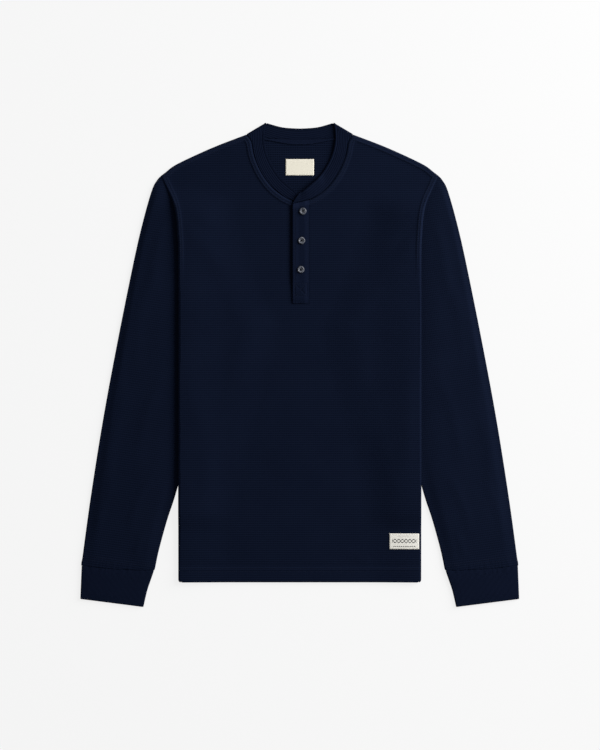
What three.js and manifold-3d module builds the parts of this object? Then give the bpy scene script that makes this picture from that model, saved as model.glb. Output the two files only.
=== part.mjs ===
// A long-sleeved thermal top with a three-button neck, laid flat on its back. The sleeves are folded down
// beside the body and run on under its sides. Millimetres. X runs to the right as the front is seen, Y runs
// from hem to collar, Z runs up from the surface that the top lies on. The origin is under its middle.
import * as THREE from 'three';
import Module from 'manifold-3d';

// Cloth
const WALL = 1.5; // waffle knit
const RIB = 2.0; // doubled rib of the neckband and cuffs
const TAPE = 0.8; // neck tape
const LABEL = 0.6; // woven label
const PLACKET = 1.8; // folded placket strip
const GAP = 0.3; // between pieces at a seam
const SEAM_BAND = 9; // width of a cover-stitched seam
const SEAM_FOOT = 1.2; // run of the step at a seam band's edge
const SEAM_RISE = 0.45;
const HEM_RISE = 0.6;

// Body
const HALF_WIDTH = 194.4;
const HEM_Y = -347.8;
const HEM_BAND = 23;
const SHOULDER_POINT = { x: 222, y: 303 };
const TUCK = 18; // the front's strip on the underside, past its side fold
const BODY_FLAT = 4.0; // height of the two layers where they lie closest
const SIDE_RISE = 2.0; // and how much fuller they are at the side folds
const SHOULDER_FLAT = 3.5; // and at the shoulder seam

// Sleeve
const SLEEVE_FLAT = 3.4;
const CUFF_FLAT = 4.4;
const LIFT = SLEEVE_FLAT + GAP; // the body's sides lie on the sleeves
const SEAM_SAG = 1.6; // of the cuff seam, at its middle
const SLEEVE_ROWS = 16;
const CUFF_ROWS = 4;

// Where the body's layers rise, as distances from the middle or heights, each from none to all of the rise
const LIFT_ACROSS = { from: -100, to: -34 }; // inside the hidden sleeve's edge
const LIFT_TOP = { from: 285, to: 242 };
const LIFT_LOW = { from: -268, to: -232 };
const SIDE_ACROSS = { from: 110, to: 185 };
const SIDE_TOP = { from: 300, to: 235 };
const SIDE_LOW = { from: -250, to: -345 };
const SIDE_LOW_LOSS = 0.3;
const SHOULDER_ACROSS = { from: 150, to: 215 };
const SHOULDER_UP = { from: 270, to: 303 };
const NECK_RISE = 1.0; // room for the neckband and tape between the layers
const NECK_UP = { from: 300, to: 350 };
const NECK_ACROSS = { from: 160, to: 95 };

// Placket: the strip's left and right edges, and its foot
const PLACKET_LEFT = -11.8;
const PLACKET_RIGHT = 16.1;
const PLACKET_FOOT = 98.2;
const BUTTON_RADIUS = 5.65;
const BUTTON_HEIGHT = 2.4;

// Grid of the body: rows from the hem up to the placket's foot or the armhole, and rows above
const LOW_ROWS_CENTRE = 13;
const LOW_ROWS_SIDE = 16;
const CORE_ROWS = 19;
const NECK_COLUMNS = 6;
const SHOULDER_COLUMNS = 5;
const FOLD_STEPS = 3; // facets in a quarter of a fold

// Outlines, each for the wearer's left half, seen on the right

const ARMHOLE = [
  { x: 194.4, y: 175 },
  { x: 195.4, y: 205 },
  { x: 198.3, y: 240 },
  { x: 203.8, y: 262.5 },
  { x: 212, y: 281 },
  SHOULDER_POINT,
];
const ARMHOLE_FOOT = ARMHOLE[2]; // below it the sleeve passes under the body

const SHOULDER = [
  { x: 86, y: 368.6 },
  { x: 129.7, y: 352 },
  { x: 166.5, y: 336 },
  { x: 199.3, y: 320 },
  SHOULDER_POINT,
];

const FRONT_NECK = [
  { x: 0, y: 261.5 },
  { x: 12, y: 263.2 },
  { x: 27, y: 270.2 },
  { x: 45.5, y: 285 },
  { x: 61.8, y: 307.5 },
  { x: 73.2, y: 334 },
  { x: 78, y: 357 },
  SHOULDER[0],
];

const BACK_NECK = [
  { x: 0, y: 361.6 },
  { x: 30, y: 362.3 },
  { x: 60, y: 364.4 },
  SHOULDER[0],
];

const NECKBAND_FRONT_EDGE = [
  { x: 10, y: 282 },
  { x: 20, y: 290.5 },
  { x: 33.8, y: 304.5 },
  { x: 49.8, y: 332 },
  { x: 56.7, y: 360.2 },
  { x: 54.4, y: 387.9 },
];

const NECKBAND_BACK_EDGE = [
  { x: 0, y: 378.7 },
  { x: 15.6, y: 379.4 },
  { x: 31.6, y: 381.4 },
  { x: 54.4, y: 387.9 },
];

const SLEEVE_OUTER = [
  SHOULDER_POINT,
  { x: 228.4, y: 296 },
  { x: 236.7, y: 280 },
  { x: 250.5, y: 232 },
  { x: 265.4, y: 168 },
  { x: 291.3, y: 40 },
  { x: 315.1, y: -88 },
  { x: 335.4, y: -216 },
  { x: 349.6, y: -320.7 },
];

// The sleeve's armhole edge where the body hides it, down to the underarm
const SLEEVE_HIDDEN_CAP = [
  { x: 189, y: 200 },
  { x: 176, y: 160 },
  { x: 160, y: 122 },
  { x: 144, y: 90 },
  { x: 126, y: 62 },
];

const SLEEVE_INNER = [
  SLEEVE_HIDDEN_CAP[4],
  { x: 161, y: -68 },
  { x: 195.8, y: -196.8 },
  { x: 212.2, y: -248 },
  { x: 225.4, y: -296 },
  { x: 232.2, y: -328.5 },
];

const CUFF_OUTER = [
  { x: 349.2, y: -321.2 },
  { x: 351.3, y: -374.5 },
];
const CUFF_INNER = [
  { x: 233.2, y: -329 },
  { x: 238.8, y: -345 },
  { x: 244.4, y: -362 },
  { x: 250.3, y: -387.4 },
];

const CLOTH = {
  knit: { color: 0x0f1525, roughness: 0.92 },
  rib: { color: 0x10162a, roughness: 0.88 },
  tape: { color: 0x1b2336, roughness: 0.9 },
  label: { color: 0xd8d0bd, roughness: 0.8 },
  button: { color: 0x6d7078, roughness: 0.45 },
};

// Helpers on plan points

/** 0 before a ramp, 1 past it and a smooth step between, whichever way it runs. */
const ramp = (value, { from, to }) => {
  const sign = Math.sign(to - from);
  return THREE.MathUtils.smoothstep(sign * value, sign * from, sign * to);
};
const mix = THREE.MathUtils.lerp;
const plan = (x, y) => new THREE.Vector2(x, y);
const curveThrough = (table) => new THREE.SplineCurve(table.map((row) => plan(row.x, row.y)));

/** Points along a curve, evenly spaced by length between two fractions of it. */
function alongCurve(curve, steps, from = 0, to = 1) {
  return Array.from({ length: steps + 1 }, (_, k) => curve.getPointAt(mix(from, to, k / steps)));
}

/** The fraction of a curve's length at which it reaches x. */
function fractionAtX(curve, x) {
  let low = 0;
  let high = 1;
  for (let step = 0; step < 40; step += 1) {
    const middle = (low + high) / 2;
    if (curve.getPointAt(middle).x < x) low = middle;
    else high = middle;
  }
  return low;
}

/** Straight-line reading of one column of a table against another, for rising keys. */
function readTable(table, key, column, at) {
  const rows = [...table].sort((a, b) => a[key] - b[key]);
  if (at <= rows[0][key]) return rows[0][column];
  for (let k = 1; k < rows.length; k += 1) {
    if (at <= rows[k][key]) {
      const share = (at - rows[k - 1][key]) / (rows[k][key] - rows[k - 1][key]);
      return mix(rows[k - 1][column], rows[k][column], share);
    }
  }
  return rows[rows.length - 1][column];
}

/** Unit vector to the right of the way from one plan point to the next. */
function rightOf(from, to) {
  const way = to.clone().sub(from).normalize();
  return plan(way.y, -way.x);
}

/** A line of points moved sideways, to the right of its direction, with mitred corners. */
function moveAside(line, distance) {
  return line.map((point, k) => {
    const before = rightOf(line[Math.max(k - 1, 0)], line[Math.max(k, 1)]);
    const last = line.length - 1;
    const after = rightOf(line[Math.min(k, last - 1)], line[Math.min(k + 1, last)]);
    const mitre = before.clone().add(after).multiplyScalar(distance / (1 + before.dot(after)));
    return point.clone().add(mitre);
  });
}

/** A grid of plan points between four boundary lines: rows from bottom to top, columns left to right. */
function patch(bottom, top, left, right, across, up) {
  const c00 = bottom[0];
  const c10 = bottom[bottom.length - 1];
  const c01 = top[0];
  const c11 = top[top.length - 1];
  return left.map((_, j) => bottom.map((__, i) => {
    const u = across[i];
    const v = up[j];
    const blend = (axis) => mix(bottom[i][axis], top[i][axis], v) + mix(left[j][axis], right[j][axis], u)
      - mix(mix(c00[axis], c10[axis], u), mix(c01[axis], c11[axis], u), v);
    return plan(blend('x'), blend('y'));
  }));
}

// Heights of the layers above the surface

/** Where the hidden sleeve's inner edge runs, as x for a height y. */
const hiddenEdge = (y) => readTable(
  [ARMHOLE_FOOT, ...SLEEVE_HIDDEN_CAP, ...SLEEVE_INNER.slice(1, 3)], 'y', 'x', y);

/** Underside of the back: on the surface, and raised where the sleeves pass below. */
function underside(x, y) {
  const across = ramp(Math.abs(x) - hiddenEdge(y), LIFT_ACROSS);
  return LIFT * across * ramp(y, LIFT_TOP) * ramp(y, LIFT_LOW);
}

/** Height of the two body layers together. */
function bodyHeight(x, y) {
  const out = Math.abs(x);
  const side = ramp(out, SIDE_ACROSS) * ramp(y, SIDE_TOP) * (1 - SIDE_LOW_LOSS * ramp(y, SIDE_LOW));
  const shoulder = ramp(out, SHOULDER_ACROSS) * ramp(y, SHOULDER_UP);
  const neck = ramp(out, NECK_ACROSS) * ramp(y, NECK_UP);
  return BODY_FLAT + SIDE_RISE * side - (BODY_FLAT - SHOULDER_FLAT) * shoulder + NECK_RISE * neck;
}

const frontTop = (x, y) => underside(x, y) + bodyHeight(x, y);

// Solids from sheets

/**
 * Closed solid between an outer and an inner grid of points. A cell that is not present leaves a hole with
 * walls. In a ring the last column joins the first. Mirrored grids turn their faces round.
 */
function sheetSolid(outer, inner, { present = () => true, ring = false, mirrored = false } = {}) {
  const rows = outer.length;
  const columns = outer[0].length;
  const cells = ring ? columns : columns - 1;
  const isThere = (j, i) => {
    const column = ring ? (i + columns) % columns : i;
    return j >= 0 && j < rows - 1 && column >= 0 && column < cells && present(j, column);
  };
  const at = (sheet, [j, i]) => sheet[j][i % columns];
  const positions = [];
  const face = (a, b, c, d) => {
    const turn = mirrored ? [a, c, b, a, d, c] : [a, b, c, a, c, d];
    turn.forEach((point) => positions.push(point.x, point.y, point.z));
  };
  for (let j = 0; j < rows - 1; j += 1) {
    for (let i = 0; i < cells; i += 1) {
      if (!isThere(j, i)) continue;
      const corners = [[j, i], [j, i + 1], [j + 1, i + 1], [j + 1, i]];
      const neighbours = [[j - 1, i], [j, i + 1], [j + 1, i], [j, i - 1]];
      face(...corners.map((corner) => at(outer, corner)));
      face(...[...corners].reverse().map((corner) => at(inner, corner)));
      neighbours.forEach(([row, column], k) => {
        if (isThere(row, column)) return;
        const [p, q] = [corners[k], corners[(k + 1) % 4]];
        face(at(outer, p), at(inner, p), at(inner, q), at(outer, q));
      });
    }
  }
  const geometry = new THREE.BufferGeometry();
  geometry.setAttribute('position', new THREE.Float32BufferAttribute(positions, 3));
  geometry.computeVertexNormals();
  return geometry;
}

/** Ring of a flattened tube: along the top, round one edge, back along the underside, round the other. */
function flatRing(line, height, wall) {
  const radius = height / 2;
  const ringAt = (inset) => {
    const points = [];
    const last = line.length - 1;
    const side = (k, sign) => {
      const end = k === 0 ? line[0].clone().sub(line[1]) : line[last].clone().sub(line[last - 1]);
      end.normalize();
      for (let step = 0; step <= 2 * FOLD_STEPS; step += 1) {
        const angle = (Math.PI / 2) * (step / FOLD_STEPS);
        const out = (radius - inset) * Math.sin(angle) - radius;
        const place = line[k].clone().addScaledVector(end, out);
        points.push(new THREE.Vector3(place.x, place.y, radius + sign * (radius - inset) * Math.cos(angle)));
      }
    };
    line.slice(1, last).forEach((p) => points.push(new THREE.Vector3(p.x, p.y, height - inset)));
    side(last, 1);
    line.slice(1, last).reverse().forEach((p) => points.push(new THREE.Vector3(p.x, p.y, inset)));
    side(0, -1);
    return points;
  };
  return { outer: ringAt(0), inner: ringAt(wall) };
}

const mirrorGrid = (grid) => grid.map((row) => row.map((p) => new THREE.Vector3(-p.x, p.y, p.z)));

const top = new THREE.Group();

function addPiece(name, geometry, cloth) {
  const material = new THREE.MeshStandardMaterial({ ...cloth, metalness: 0 });
  const mesh = new THREE.Mesh(geometry, material);
  mesh.name = name;
  top.add(mesh);
  return mesh;
}

/** Adds a piece for the right half as seen, and its mirror image. */
function addPair(name, outer, inner, options, cloth) {
  addPiece(`${name}_left`, sheetSolid(outer, inner, options), cloth);
  const mirrored = { ...options, mirrored: true };
  addPiece(`${name}_right`, sheetSolid(mirrorGrid(outer), mirrorGrid(inner), mirrored), cloth);
}

// Body panels

/** The shoulder corner: a point at these distances in from the armhole edge and the shoulder line. */
function shoulderCorner(fromArmhole, fromShoulder) {
  const corner = plan(SHOULDER_POINT.x, SHOULDER_POINT.y);
  const before = ARMHOLE[ARMHOLE.length - 2];
  const inwards = plan(SHOULDER[3].x, SHOULDER[3].y).sub(corner).normalize();
  const down = plan(before.x, before.y).sub(corner).normalize();
  const sine = Math.abs(inwards.cross(down));
  return corner.clone().addScaledVector(inwards, fromArmhole / sine).addScaledVector(down, fromShoulder / sine);
}

/** The body's side from hem to shoulder: one point for each row between two heights, armhole points kept. */
function sidePoints(fromY, footY, topPoint) {
  const points = Array.from({ length: LOW_ROWS_SIDE + 1 }, (_, k) => {
    const y = mix(fromY, footY, k / LOW_ROWS_SIDE);
    return plan(readTable(ARMHOLE, 'y', 'x', y), y);
  });
  return [...points, ...ARMHOLE.slice(3, 5).map((p) => plan(p.x, p.y)), topPoint];
}

/** Neckline and shoulder of a panel from its middle to the given last point on the shoulder. */
function topPoints(neckTable, middleX, neckColumns, lastPoint) {
  const neck = curveThrough(neckTable);
  const neckPoints = alongCurve(neck, neckColumns, fractionAtX(neck, middleX), 1);
  const shoulder = curveThrough([...SHOULDER.slice(0, 4), lastPoint]);
  return [...neckPoints, ...alongCurve(shoulder, SHOULDER_COLUMNS).slice(1)];
}

/** Even steps mixed with steps in proportion to x, from 0 to 1. */
function columnShares(line) {
  const [first, last] = [line[0].x, line[line.length - 1].x];
  return line.map((p, i) => 0.5 * (p.x - first) / (last - first) + 0.5 * i / (line.length - 1));
}

function rowShares(left, right) {
  const share = (line, j) => (line[j].y - line[0].y) / (line[line.length - 1].y - line[0].y);
  return left.map((_, j) => (share(left, j) + share(right, j)) / 2);
}

const FOOT = SEAM_BAND + SEAM_FOOT;
const HEM_TOP = HEM_Y + HEM_BAND;
const HEM_FOOT = HEM_TOP + SEAM_FOOT;
const FRONT_ROWS = CORE_ROWS + 5;
const ARMHOLE_ROW = 2 + LOW_ROWS_SIDE;
const PLACKET_ROW = 2 + LOW_ROWS_CENTRE;
const BAND_COLUMN = NECK_COLUMNS + SHOULDER_COLUMNS + 1;

/** Plan of half the front, with its seam bands as rows and columns of their own. */
function frontHalfPlan(middleX) {
  const topRow = topPoints(FRONT_NECK, middleX, NECK_COLUMNS, shoulderCorner(FOOT, 0));
  const dropped = (distance) => {
    const line = moveAside(topRow, distance);
    const slope = rightOf(topRow[0], topRow[1]);
    line[0] = plan(middleX, topRow[0].y + distance / slope.y);
    line[line.length - 1] = shoulderCorner(FOOT, distance);
    return line;
  };
  const footRow = dropped(FOOT);
  const bandRow = dropped(SEAM_BAND);
  const side = sidePoints(HEM_FOOT, ARMHOLE_FOOT.y, shoulderCorner(0, FOOT));
  const inset = (distance) => {
    const line = moveAside(side, -distance);
    line[line.length - 1] = shoulderCorner(distance, FOOT);
    return line;
  };
  const footColumn = inset(FOOT);
  const bandColumn = inset(SEAM_BAND);
  const middle = Array.from({ length: CORE_ROWS + 1 }, (_, j) => {
    const low = mix(HEM_FOOT, PLACKET_FOOT - GAP, j / LOW_ROWS_CENTRE);
    const share = (j - LOW_ROWS_CENTRE) / (CORE_ROWS - LOW_ROWS_CENTRE);
    return plan(middleX, j <= LOW_ROWS_CENTRE ? low : mix(PLACKET_FOOT - GAP, footRow[0].y, share));
  });
  const across = columnShares(footRow);
  const hemRow = across.map((share) => plan(mix(middleX, HALF_WIDTH - FOOT, share), HEM_FOOT));
  const core = patch(hemRow, footRow, middle, footColumn, across, rowShares(middle, footColumn));
  const rows = core.map((row, j) => [...row, bandColumn[j], side[j]]);
  const hemRows = [HEM_Y, HEM_TOP].map((y) => rows[0].map((p) => plan(p.x, y)));
  const upperBand = [...bandRow, shoulderCorner(SEAM_BAND, SEAM_BAND), shoulderCorner(0, SEAM_BAND)];
  const upperEdge = [...topRow, shoulderCorner(SEAM_BAND, 0), shoulderCorner(0, 0)];
  return [...hemRows, ...rows, upperBand, upperEdge];
}

/** How far the outer points of the front rise at its seam bands. */
function seamRise(j, i) {
  if (j <= 1) return HEM_RISE;
  const onTop = j >= FRONT_ROWS - 2;
  const atArmhole = i >= BAND_COLUMN && j >= ARMHOLE_ROW;
  return onTop || atArmhole ? SEAM_RISE : 0;
}

/** Half the front as two sheets. The last columns run round the side fold and on under it. */
function frontHalf(middleX) {
  const flat = frontHalfPlan(middleX);
  const edgeColumn = BAND_COLUMN + 1;
  const edge = flat.map((row) => row[edgeColumn]);
  const outwards = edge.map((_, j) => rightOf(edge[Math.max(j - 1, 0)], edge[Math.max(j, 1)]));
  const outer = [];
  const inner = [];
  flat.forEach((row, j) => {
    const last = j === FRONT_ROWS - 1;
    const heightAt = (p, i) => {
      const onShoulder = last && i >= NECK_COLUMNS;
      return underside(p.x, p.y) + (onShoulder ? SHOULDER_FLAT : bodyHeight(p.x, p.y));
    };
    const lid = row.slice(0, edgeColumn);
    const outerRow = lid.map((p, i) => new THREE.Vector3(p.x, p.y, heightAt(p, i) + seamRise(j, i)));
    const innerRow = lid.map((p, i) => new THREE.Vector3(p.x, p.y, heightAt(p, i) - WALL));
    const base = underside(edge[j].x, edge[j].y);
    const radius = (heightAt(edge[j], edgeColumn) - base) / 2;
    for (let step = 0; step <= 2 * FOLD_STEPS; step += 1) {
      const angle = (Math.PI / 2) * (step / FOLD_STEPS);
      const rise = seamRise(j, edgeColumn) * Math.max(Math.cos(angle), 0);
      const place = (size) => edge[j].clone().addScaledVector(outwards[j], size * Math.sin(angle) - radius);
      const [far, near] = [place(radius), place(radius - WALL)];
      const middle = base + radius;
      outerRow.push(new THREE.Vector3(far.x, far.y, middle + radius * Math.cos(angle) + rise));
      innerRow.push(new THREE.Vector3(near.x, near.y, middle + (radius - WALL) * Math.cos(angle)));
    }
    [TUCK / 2, TUCK].forEach((distance) => {
      const p = plan(edge[j].x - distance, edge[j].y);
      const bottom = underside(p.x, p.y);
      outerRow.push(new THREE.Vector3(p.x, p.y, bottom));
      innerRow.push(new THREE.Vector3(p.x, p.y, bottom + WALL));
    });
    outer.push(outerRow);
    inner.push(innerRow);
  });
  return { outer, inner, foldColumn: edgeColumn + FOLD_STEPS };
}

function makeFront() {
  const right = frontHalf(PLACKET_RIGHT);
  const left = frontHalf(-PLACKET_LEFT + GAP);
  const join = (sheet) => mirrorGrid(left[sheet]).map((row, j) => [...row.reverse(), ...right[sheet][j]]);
  const columns = right.outer[0].length;
  const slot = columns - 1;
  const present = (j, i) => {
    const fromMiddle = i < slot ? slot - 1 - i : i - columns;
    if (i === slot) return j < PLACKET_ROW;
    return fromMiddle < right.foldColumn || j < ARMHOLE_ROW;
  };
  return addPiece('front_panel', sheetSolid(join('outer'), join('inner'), { present }), CLOTH.knit);
}

/** The back fills the outline between the front's two tucked strips, and the armholes above them. */
function makeBack() {
  const strip = TUCK + GAP;
  const foot = ARMHOLE_FOOT.y + 2 * GAP;
  const side = sidePoints(HEM_Y, foot, shoulderCorner(0, 0));
  const sideIn = side.map((p) => plan(p.x - strip, p.y));
  const topIn = topPoints(BACK_NECK, 0, NECK_COLUMNS / 2, shoulderCorner(strip, 0));
  sideIn[sideIn.length - 1] = topIn[topIn.length - 1];
  const middle = sideIn.map((_, j) => plan(0, mix(HEM_Y, BACK_NECK[0].y, j / (sideIn.length - 1))));
  const across = columnShares(topIn);
  const hem = across.map((share) => plan(mix(0, HALF_WIDTH - strip, share), HEM_Y));
  const core = patch(hem, topIn, middle, sideIn, across, rowShares(middle, sideIn));
  const half = core.map((row, j) => [...row, side[j]]);
  const whole = half.map((row) => [...row.slice(1).reverse().map((p) => plan(-p.x, p.y)), ...row]);
  const raise = (extra) => whole.map((row) => row.map(
    (p) => new THREE.Vector3(p.x, p.y, underside(p.x, p.y) + extra)));
  const lastColumn = whole[0].length - 2;
  const present = (j, i) => (i > 0 && i < lastColumn) || j >= LOW_ROWS_SIDE;
  return addPiece('back_panel', sheetSolid(raise(WALL), raise(0), { present }), CLOTH.knit);
}

// Sleeves and cuffs

const CUFF_GATHER = { from: 0.86, to: 1 }; // share of the sleeve's length where it grows to the cuff's height
const CUFF_EDGE_LOSS = 0.25; // the cuff's wall is thinner by this at its turned edge
const ROW_CROWDING = 1.25; // above 1 the sleeve's rows are closer near the armhole

/** The sleeve's flat shape: rows from the armhole to the cuff, columns from its outer to its inner edge. */
function sleevePlan() {
  const shared = [...ARMHOLE].reverse().slice(0, 4).map((p) => plan(p.x, p.y));
  const cap = [...moveAside(shared, -GAP), ...SLEEVE_HIDDEN_CAP.map((p) => plan(p.x, p.y))];
  const outer = curveThrough(SLEEVE_OUTER);
  const inner = curveThrough(SLEEVE_INNER);
  const rows = Array.from({ length: SLEEVE_ROWS + 1 }, (_, k) => (k / SLEEVE_ROWS) ** ROW_CROWDING);
  const outerLine = rows.map((share) => outer.getPointAt(share));
  const innerLine = rows.map((share) => inner.getPointAt(share));
  outerLine[0] = cap[0];
  innerLine[0] = cap[cap.length - 1];
  const even = cap.map((_, i) => i / (cap.length - 1));
  const seam = even.map((share) => outerLine[SLEEVE_ROWS].clone().lerp(innerLine[SLEEVE_ROWS], share));
  seam.forEach((p, i) => p.setY(p.y - SEAM_SAG * Math.sin(Math.PI * even[i])));
  return patch(cap, seam, outerLine, innerLine, even, rows);
}

function makeSleeves() {
  const grid = sleevePlan();
  const rings = grid.map((row, j) => {
    const height = mix(SLEEVE_FLAT, CUFF_FLAT, ramp(j / SLEEVE_ROWS, CUFF_GATHER));
    return flatRing([...row].reverse(), height, WALL);
  });
  addPair('sleeve', rings.map((r) => r.outer).reverse(), rings.map((r) => r.inner).reverse(), { ring: true },
    CLOTH.knit);
  return grid[SLEEVE_ROWS];
}

function makeCuffs(seam) {
  const outer = curveThrough(CUFF_OUTER);
  const inner = curveThrough(CUFF_INNER);
  const rings = [];
  for (let k = 0; k <= CUFF_ROWS; k += 1) {
    const share = k / CUFF_ROWS;
    const [a, b] = [outer.getPointAt(share), inner.getPointAt(share)];
    const line = seam.map((p, i) => {
      const across = i / (seam.length - 1);
      const sag = p.y - mix(seam[0].y, seam[seam.length - 1].y, across);
      const even = a.clone().lerp(b, across);
      return plan(even.x, even.y + sag * (1 - share));
    });
    const wall = k === CUFF_ROWS ? RIB - CUFF_EDGE_LOSS : RIB;
    rings.push(flatRing([...line].reverse(), CUFF_FLAT, wall));
  }
  addPair('cuff', rings.map((r) => r.outer).reverse(), rings.map((r) => r.inner).reverse(), { ring: true },
    CLOTH.rib);
}

// Neckband: one strip from the button side, round the back of the neck, to the buttonhole side

const OVERLAP_RISE = 2.4;
const BAND_FOLD = 2.6; // half the height of the band's fold at the neck point
const BAND_FOLD_STEPS = 6;

/** Stations of the front part of one half, from the middle to the neck point: seam edge and free edge. */
function bandFrontStations(middleX) {
  const neck = curveThrough(FRONT_NECK);
  const seam = alongCurve(neck, NECK_COLUMNS, fractionAtX(neck, middleX), 1);
  const clear = moveAside(seam, -GAP);
  const free = alongCurve(curveThrough(NECKBAND_FRONT_EDGE), NECK_COLUMNS);
  return clear.map((p, k) => ({ seam: p, free: free[k] }));
}

/** The band's stations round its fold at the neck point, from the front seam over to the back seam. */
function bandFoldStations(corner, before, behind) {
  const outwards = rightOf(corner.seam, corner.free);
  const wayIn = (from, to) => {
    const way = to.clone().sub(from).normalize();
    return way.divideScalar(-way.dot(outwards));
  };
  const frontWay = wayIn(corner.seam, before.seam);
  const backCorner = plan(SHOULDER[0].x, SHOULDER[0].y + 2 * GAP);
  const backWay = wayIn(backCorner, behind);
  const radius = BAND_FOLD - RIB / 2;
  return Array.from({ length: BAND_FOLD_STEPS + 1 }, (_, step) => {
    const angle = Math.PI * (step / BAND_FOLD_STEPS);
    const inset = BAND_FOLD - radius * Math.sin(angle);
    const inFront = angle < Math.PI / 2;
    const seam = (inFront ? corner.seam : backCorner).clone();
    return {
      seam: seam.addScaledVector(inFront ? frontWay : backWay, inset),
      free: corner.free.clone().addScaledVector(outwards, -inset),
      z: BAND_FOLD + radius * Math.cos(angle),
    };
  });
}

function makeNeckband() {
  const steps = 3;
  const backSeam = moveAside(alongCurve(curveThrough(BACK_NECK), steps), -GAP).slice(0, steps);
  const halves = [PLACKET_RIGHT, -PLACKET_LEFT + GAP].map((middleX) => {
    const all = bandFrontStations(middleX);
    const inFront = all.slice(0, NECK_COLUMNS);
    const stations = inFront.map((s) => ({ ...s, z: frontTop(s.seam.x, s.seam.y) - WALL / 2 }));
    return [...stations, ...bandFoldStations(all[NECK_COLUMNS], all[NECK_COLUMNS - 1], backSeam[steps - 1])];
  });
  const backFree = alongCurve(curveThrough(NECKBAND_BACK_EDGE), steps).slice(0, steps);
  const back = backSeam.map((p, k) => ({ seam: p, free: backFree[k], z: RIB / 2 }));
  const flipX = (station) => ({
    ...station,
    seam: plan(-station.seam.x, station.seam.y),
    free: plan(-station.free.x, station.free.y),
  });
  const [right, left] = halves;
  const level = frontTop(0, 262) - WALL / 2;
  right[0].z += OVERLAP_RISE;
  right[1].z += OVERLAP_RISE * 0.35;
  const rightEnd = [
    { seam: plan(PLACKET_LEFT, 258.0), free: plan(-2, 273.6), z: level + OVERLAP_RISE },
    { seam: plan(3, 261.4), free: plan(3.5, 277.4), z: level + OVERLAP_RISE },
  ];
  const leftEnd = [
    { seam: plan(0, 261.6), free: plan(0, 272.4), z: level },
    { seam: plan(12, 261.8), free: plan(12, 273), z: level },
  ];
  const stations = [...rightEnd, ...right, ...[...back].reverse(), ...back.slice(1).map(flipX),
    ...left.map(flipX).reverse(), ...leftEnd];
  const spread = [0, 0.12, 0.55, 1];
  const grid = stations.map((s) => spread.map((share) => {
    const p = s.free.clone().lerp(s.seam, share);
    return new THREE.Vector3(p.x, p.y, s.z);
  }));
  const half = [0.35, 0.5, 0.5, 0.5].map((share) => share * RIB);
  const moved = (sign) => grid.map((row, j) => row.map((p, i) => {
    const before = grid[Math.max(j - 1, 0)][i];
    const after = grid[Math.min(j + 1, grid.length - 1)][i];
    const along = after.clone().sub(before);
    const across = row[row.length - 1].clone().sub(row[0]);
    const normal = across.cross(along).normalize();
    return p.clone().addScaledVector(normal, sign * half[i]);
  }));
  addPiece('neckband', sheetSolid(moved(1), moved(-1)), CLOTH.rib);
  return rightEnd.map((s) => s.seam).concat(right[0].seam);
}

// Pieces that lie on a panel follow its faces

const lookDown = new THREE.Raycaster();
const DOWN = new THREE.Vector3(0, 0, -1);

/** Height of a piece's upper face over a plan point. */
function heightOn(mesh, x, y) {
  lookDown.set(new THREE.Vector3(x, y, 100), DOWN);
  return lookDown.intersectObject(mesh)[0].point.z;
}

/** A sheet laid on a mesh, over a grid of plan points. */
function laidOn(mesh, grid, thickness) {
  const lift = (extra) => grid.map((row) => row.map(
    (p) => new THREE.Vector3(p.x, p.y, heightOn(mesh, p.x, p.y) + GAP + extra)));
  return sheetSolid(lift(thickness), lift(0));
}

function rectangle({ left, right, low, high, columns, rows }) {
  return Array.from({ length: rows + 1 }, (_, j) => Array.from({ length: columns + 1 }, (__, i) => (
    plan(mix(left, right, i / columns), mix(low, high, j / rows)))));
}

function makeNeckTape(back) {
  const width = 8;
  const steps = 8;
  const reach = 72;
  const seam = curveThrough(BACK_NECK);
  const end = fractionAtX(seam, reach);
  const upper = moveAside(alongCurve(seam, steps, 0, end), 1);
  const half = [moveAside(upper, width), upper];
  const grid = half.map((row) => [...row.slice(1).reverse().map((p) => plan(-p.x, p.y)), ...row]);
  addPiece('neck_tape', laidOn(back, grid, TAPE), CLOTH.tape);
}

function makeLabels(front, back) {
  const neckLabel = { left: -22.6, right: 22.7, low: 303.6, high: 329.6, columns: 3, rows: 2 };
  const hemLabel = { left: 143.4, right: 190.6, low: -294.4, high: -269.4, columns: 8, rows: 4 };
  addPiece('neck_label', laidOn(back, rectangle(neckLabel), LABEL), CLOTH.label);
  addPiece('hem_label', laidOn(front, rectangle(hemLabel), LABEL), CLOTH.label);
}

// Placket and buttons

/** A strip with a flat underside and softly rounded long edges. */
function strip(left, right, low, highAt, bottom, thickness, rows) {
  const columns = [0, 0.06, 0.35, 0.7, 0.94, 1];
  const edgeDrop = [0.45, 0, 0, 0, 0, 0.45];
  const grid = Array.from({ length: rows + 1 }, (_, j) => columns.map((share) => {
    const x = mix(left, right, share);
    return plan(x, mix(low, highAt(x), j / rows));
  }));
  const upper = grid.map((row) => row.map((p, i) => (
    new THREE.Vector3(p.x, p.y, bottom + thickness - edgeDrop[i]))));
  const lower = grid.map((row) => row.map((p) => new THREE.Vector3(p.x, p.y, bottom)));
  return sheetSolid(upper, lower);
}

function makePlacket(bandSeam) {
  const level = frontTop(0, PLACKET_FOOT);
  const underTop = 260.8;
  const under = strip(PLACKET_LEFT, PLACKET_RIGHT - GAP, PLACKET_FOOT, () => underTop, level - WALL, WALL, 4);
  addPiece('placket_under', under, CLOTH.knit);
  const seam = bandSeam.map((p) => ({ x: p.x, y: p.y }));
  const highAt = (x) => readTable(seam, 'x', 'y', x) - 2 * GAP;
  const upper = strip(PLACKET_LEFT, PLACKET_RIGHT - GAP, PLACKET_FOOT, highAt, level + GAP, PLACKET, 6);
  return addPiece('placket_upper', upper, CLOTH.rib);
}

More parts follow.
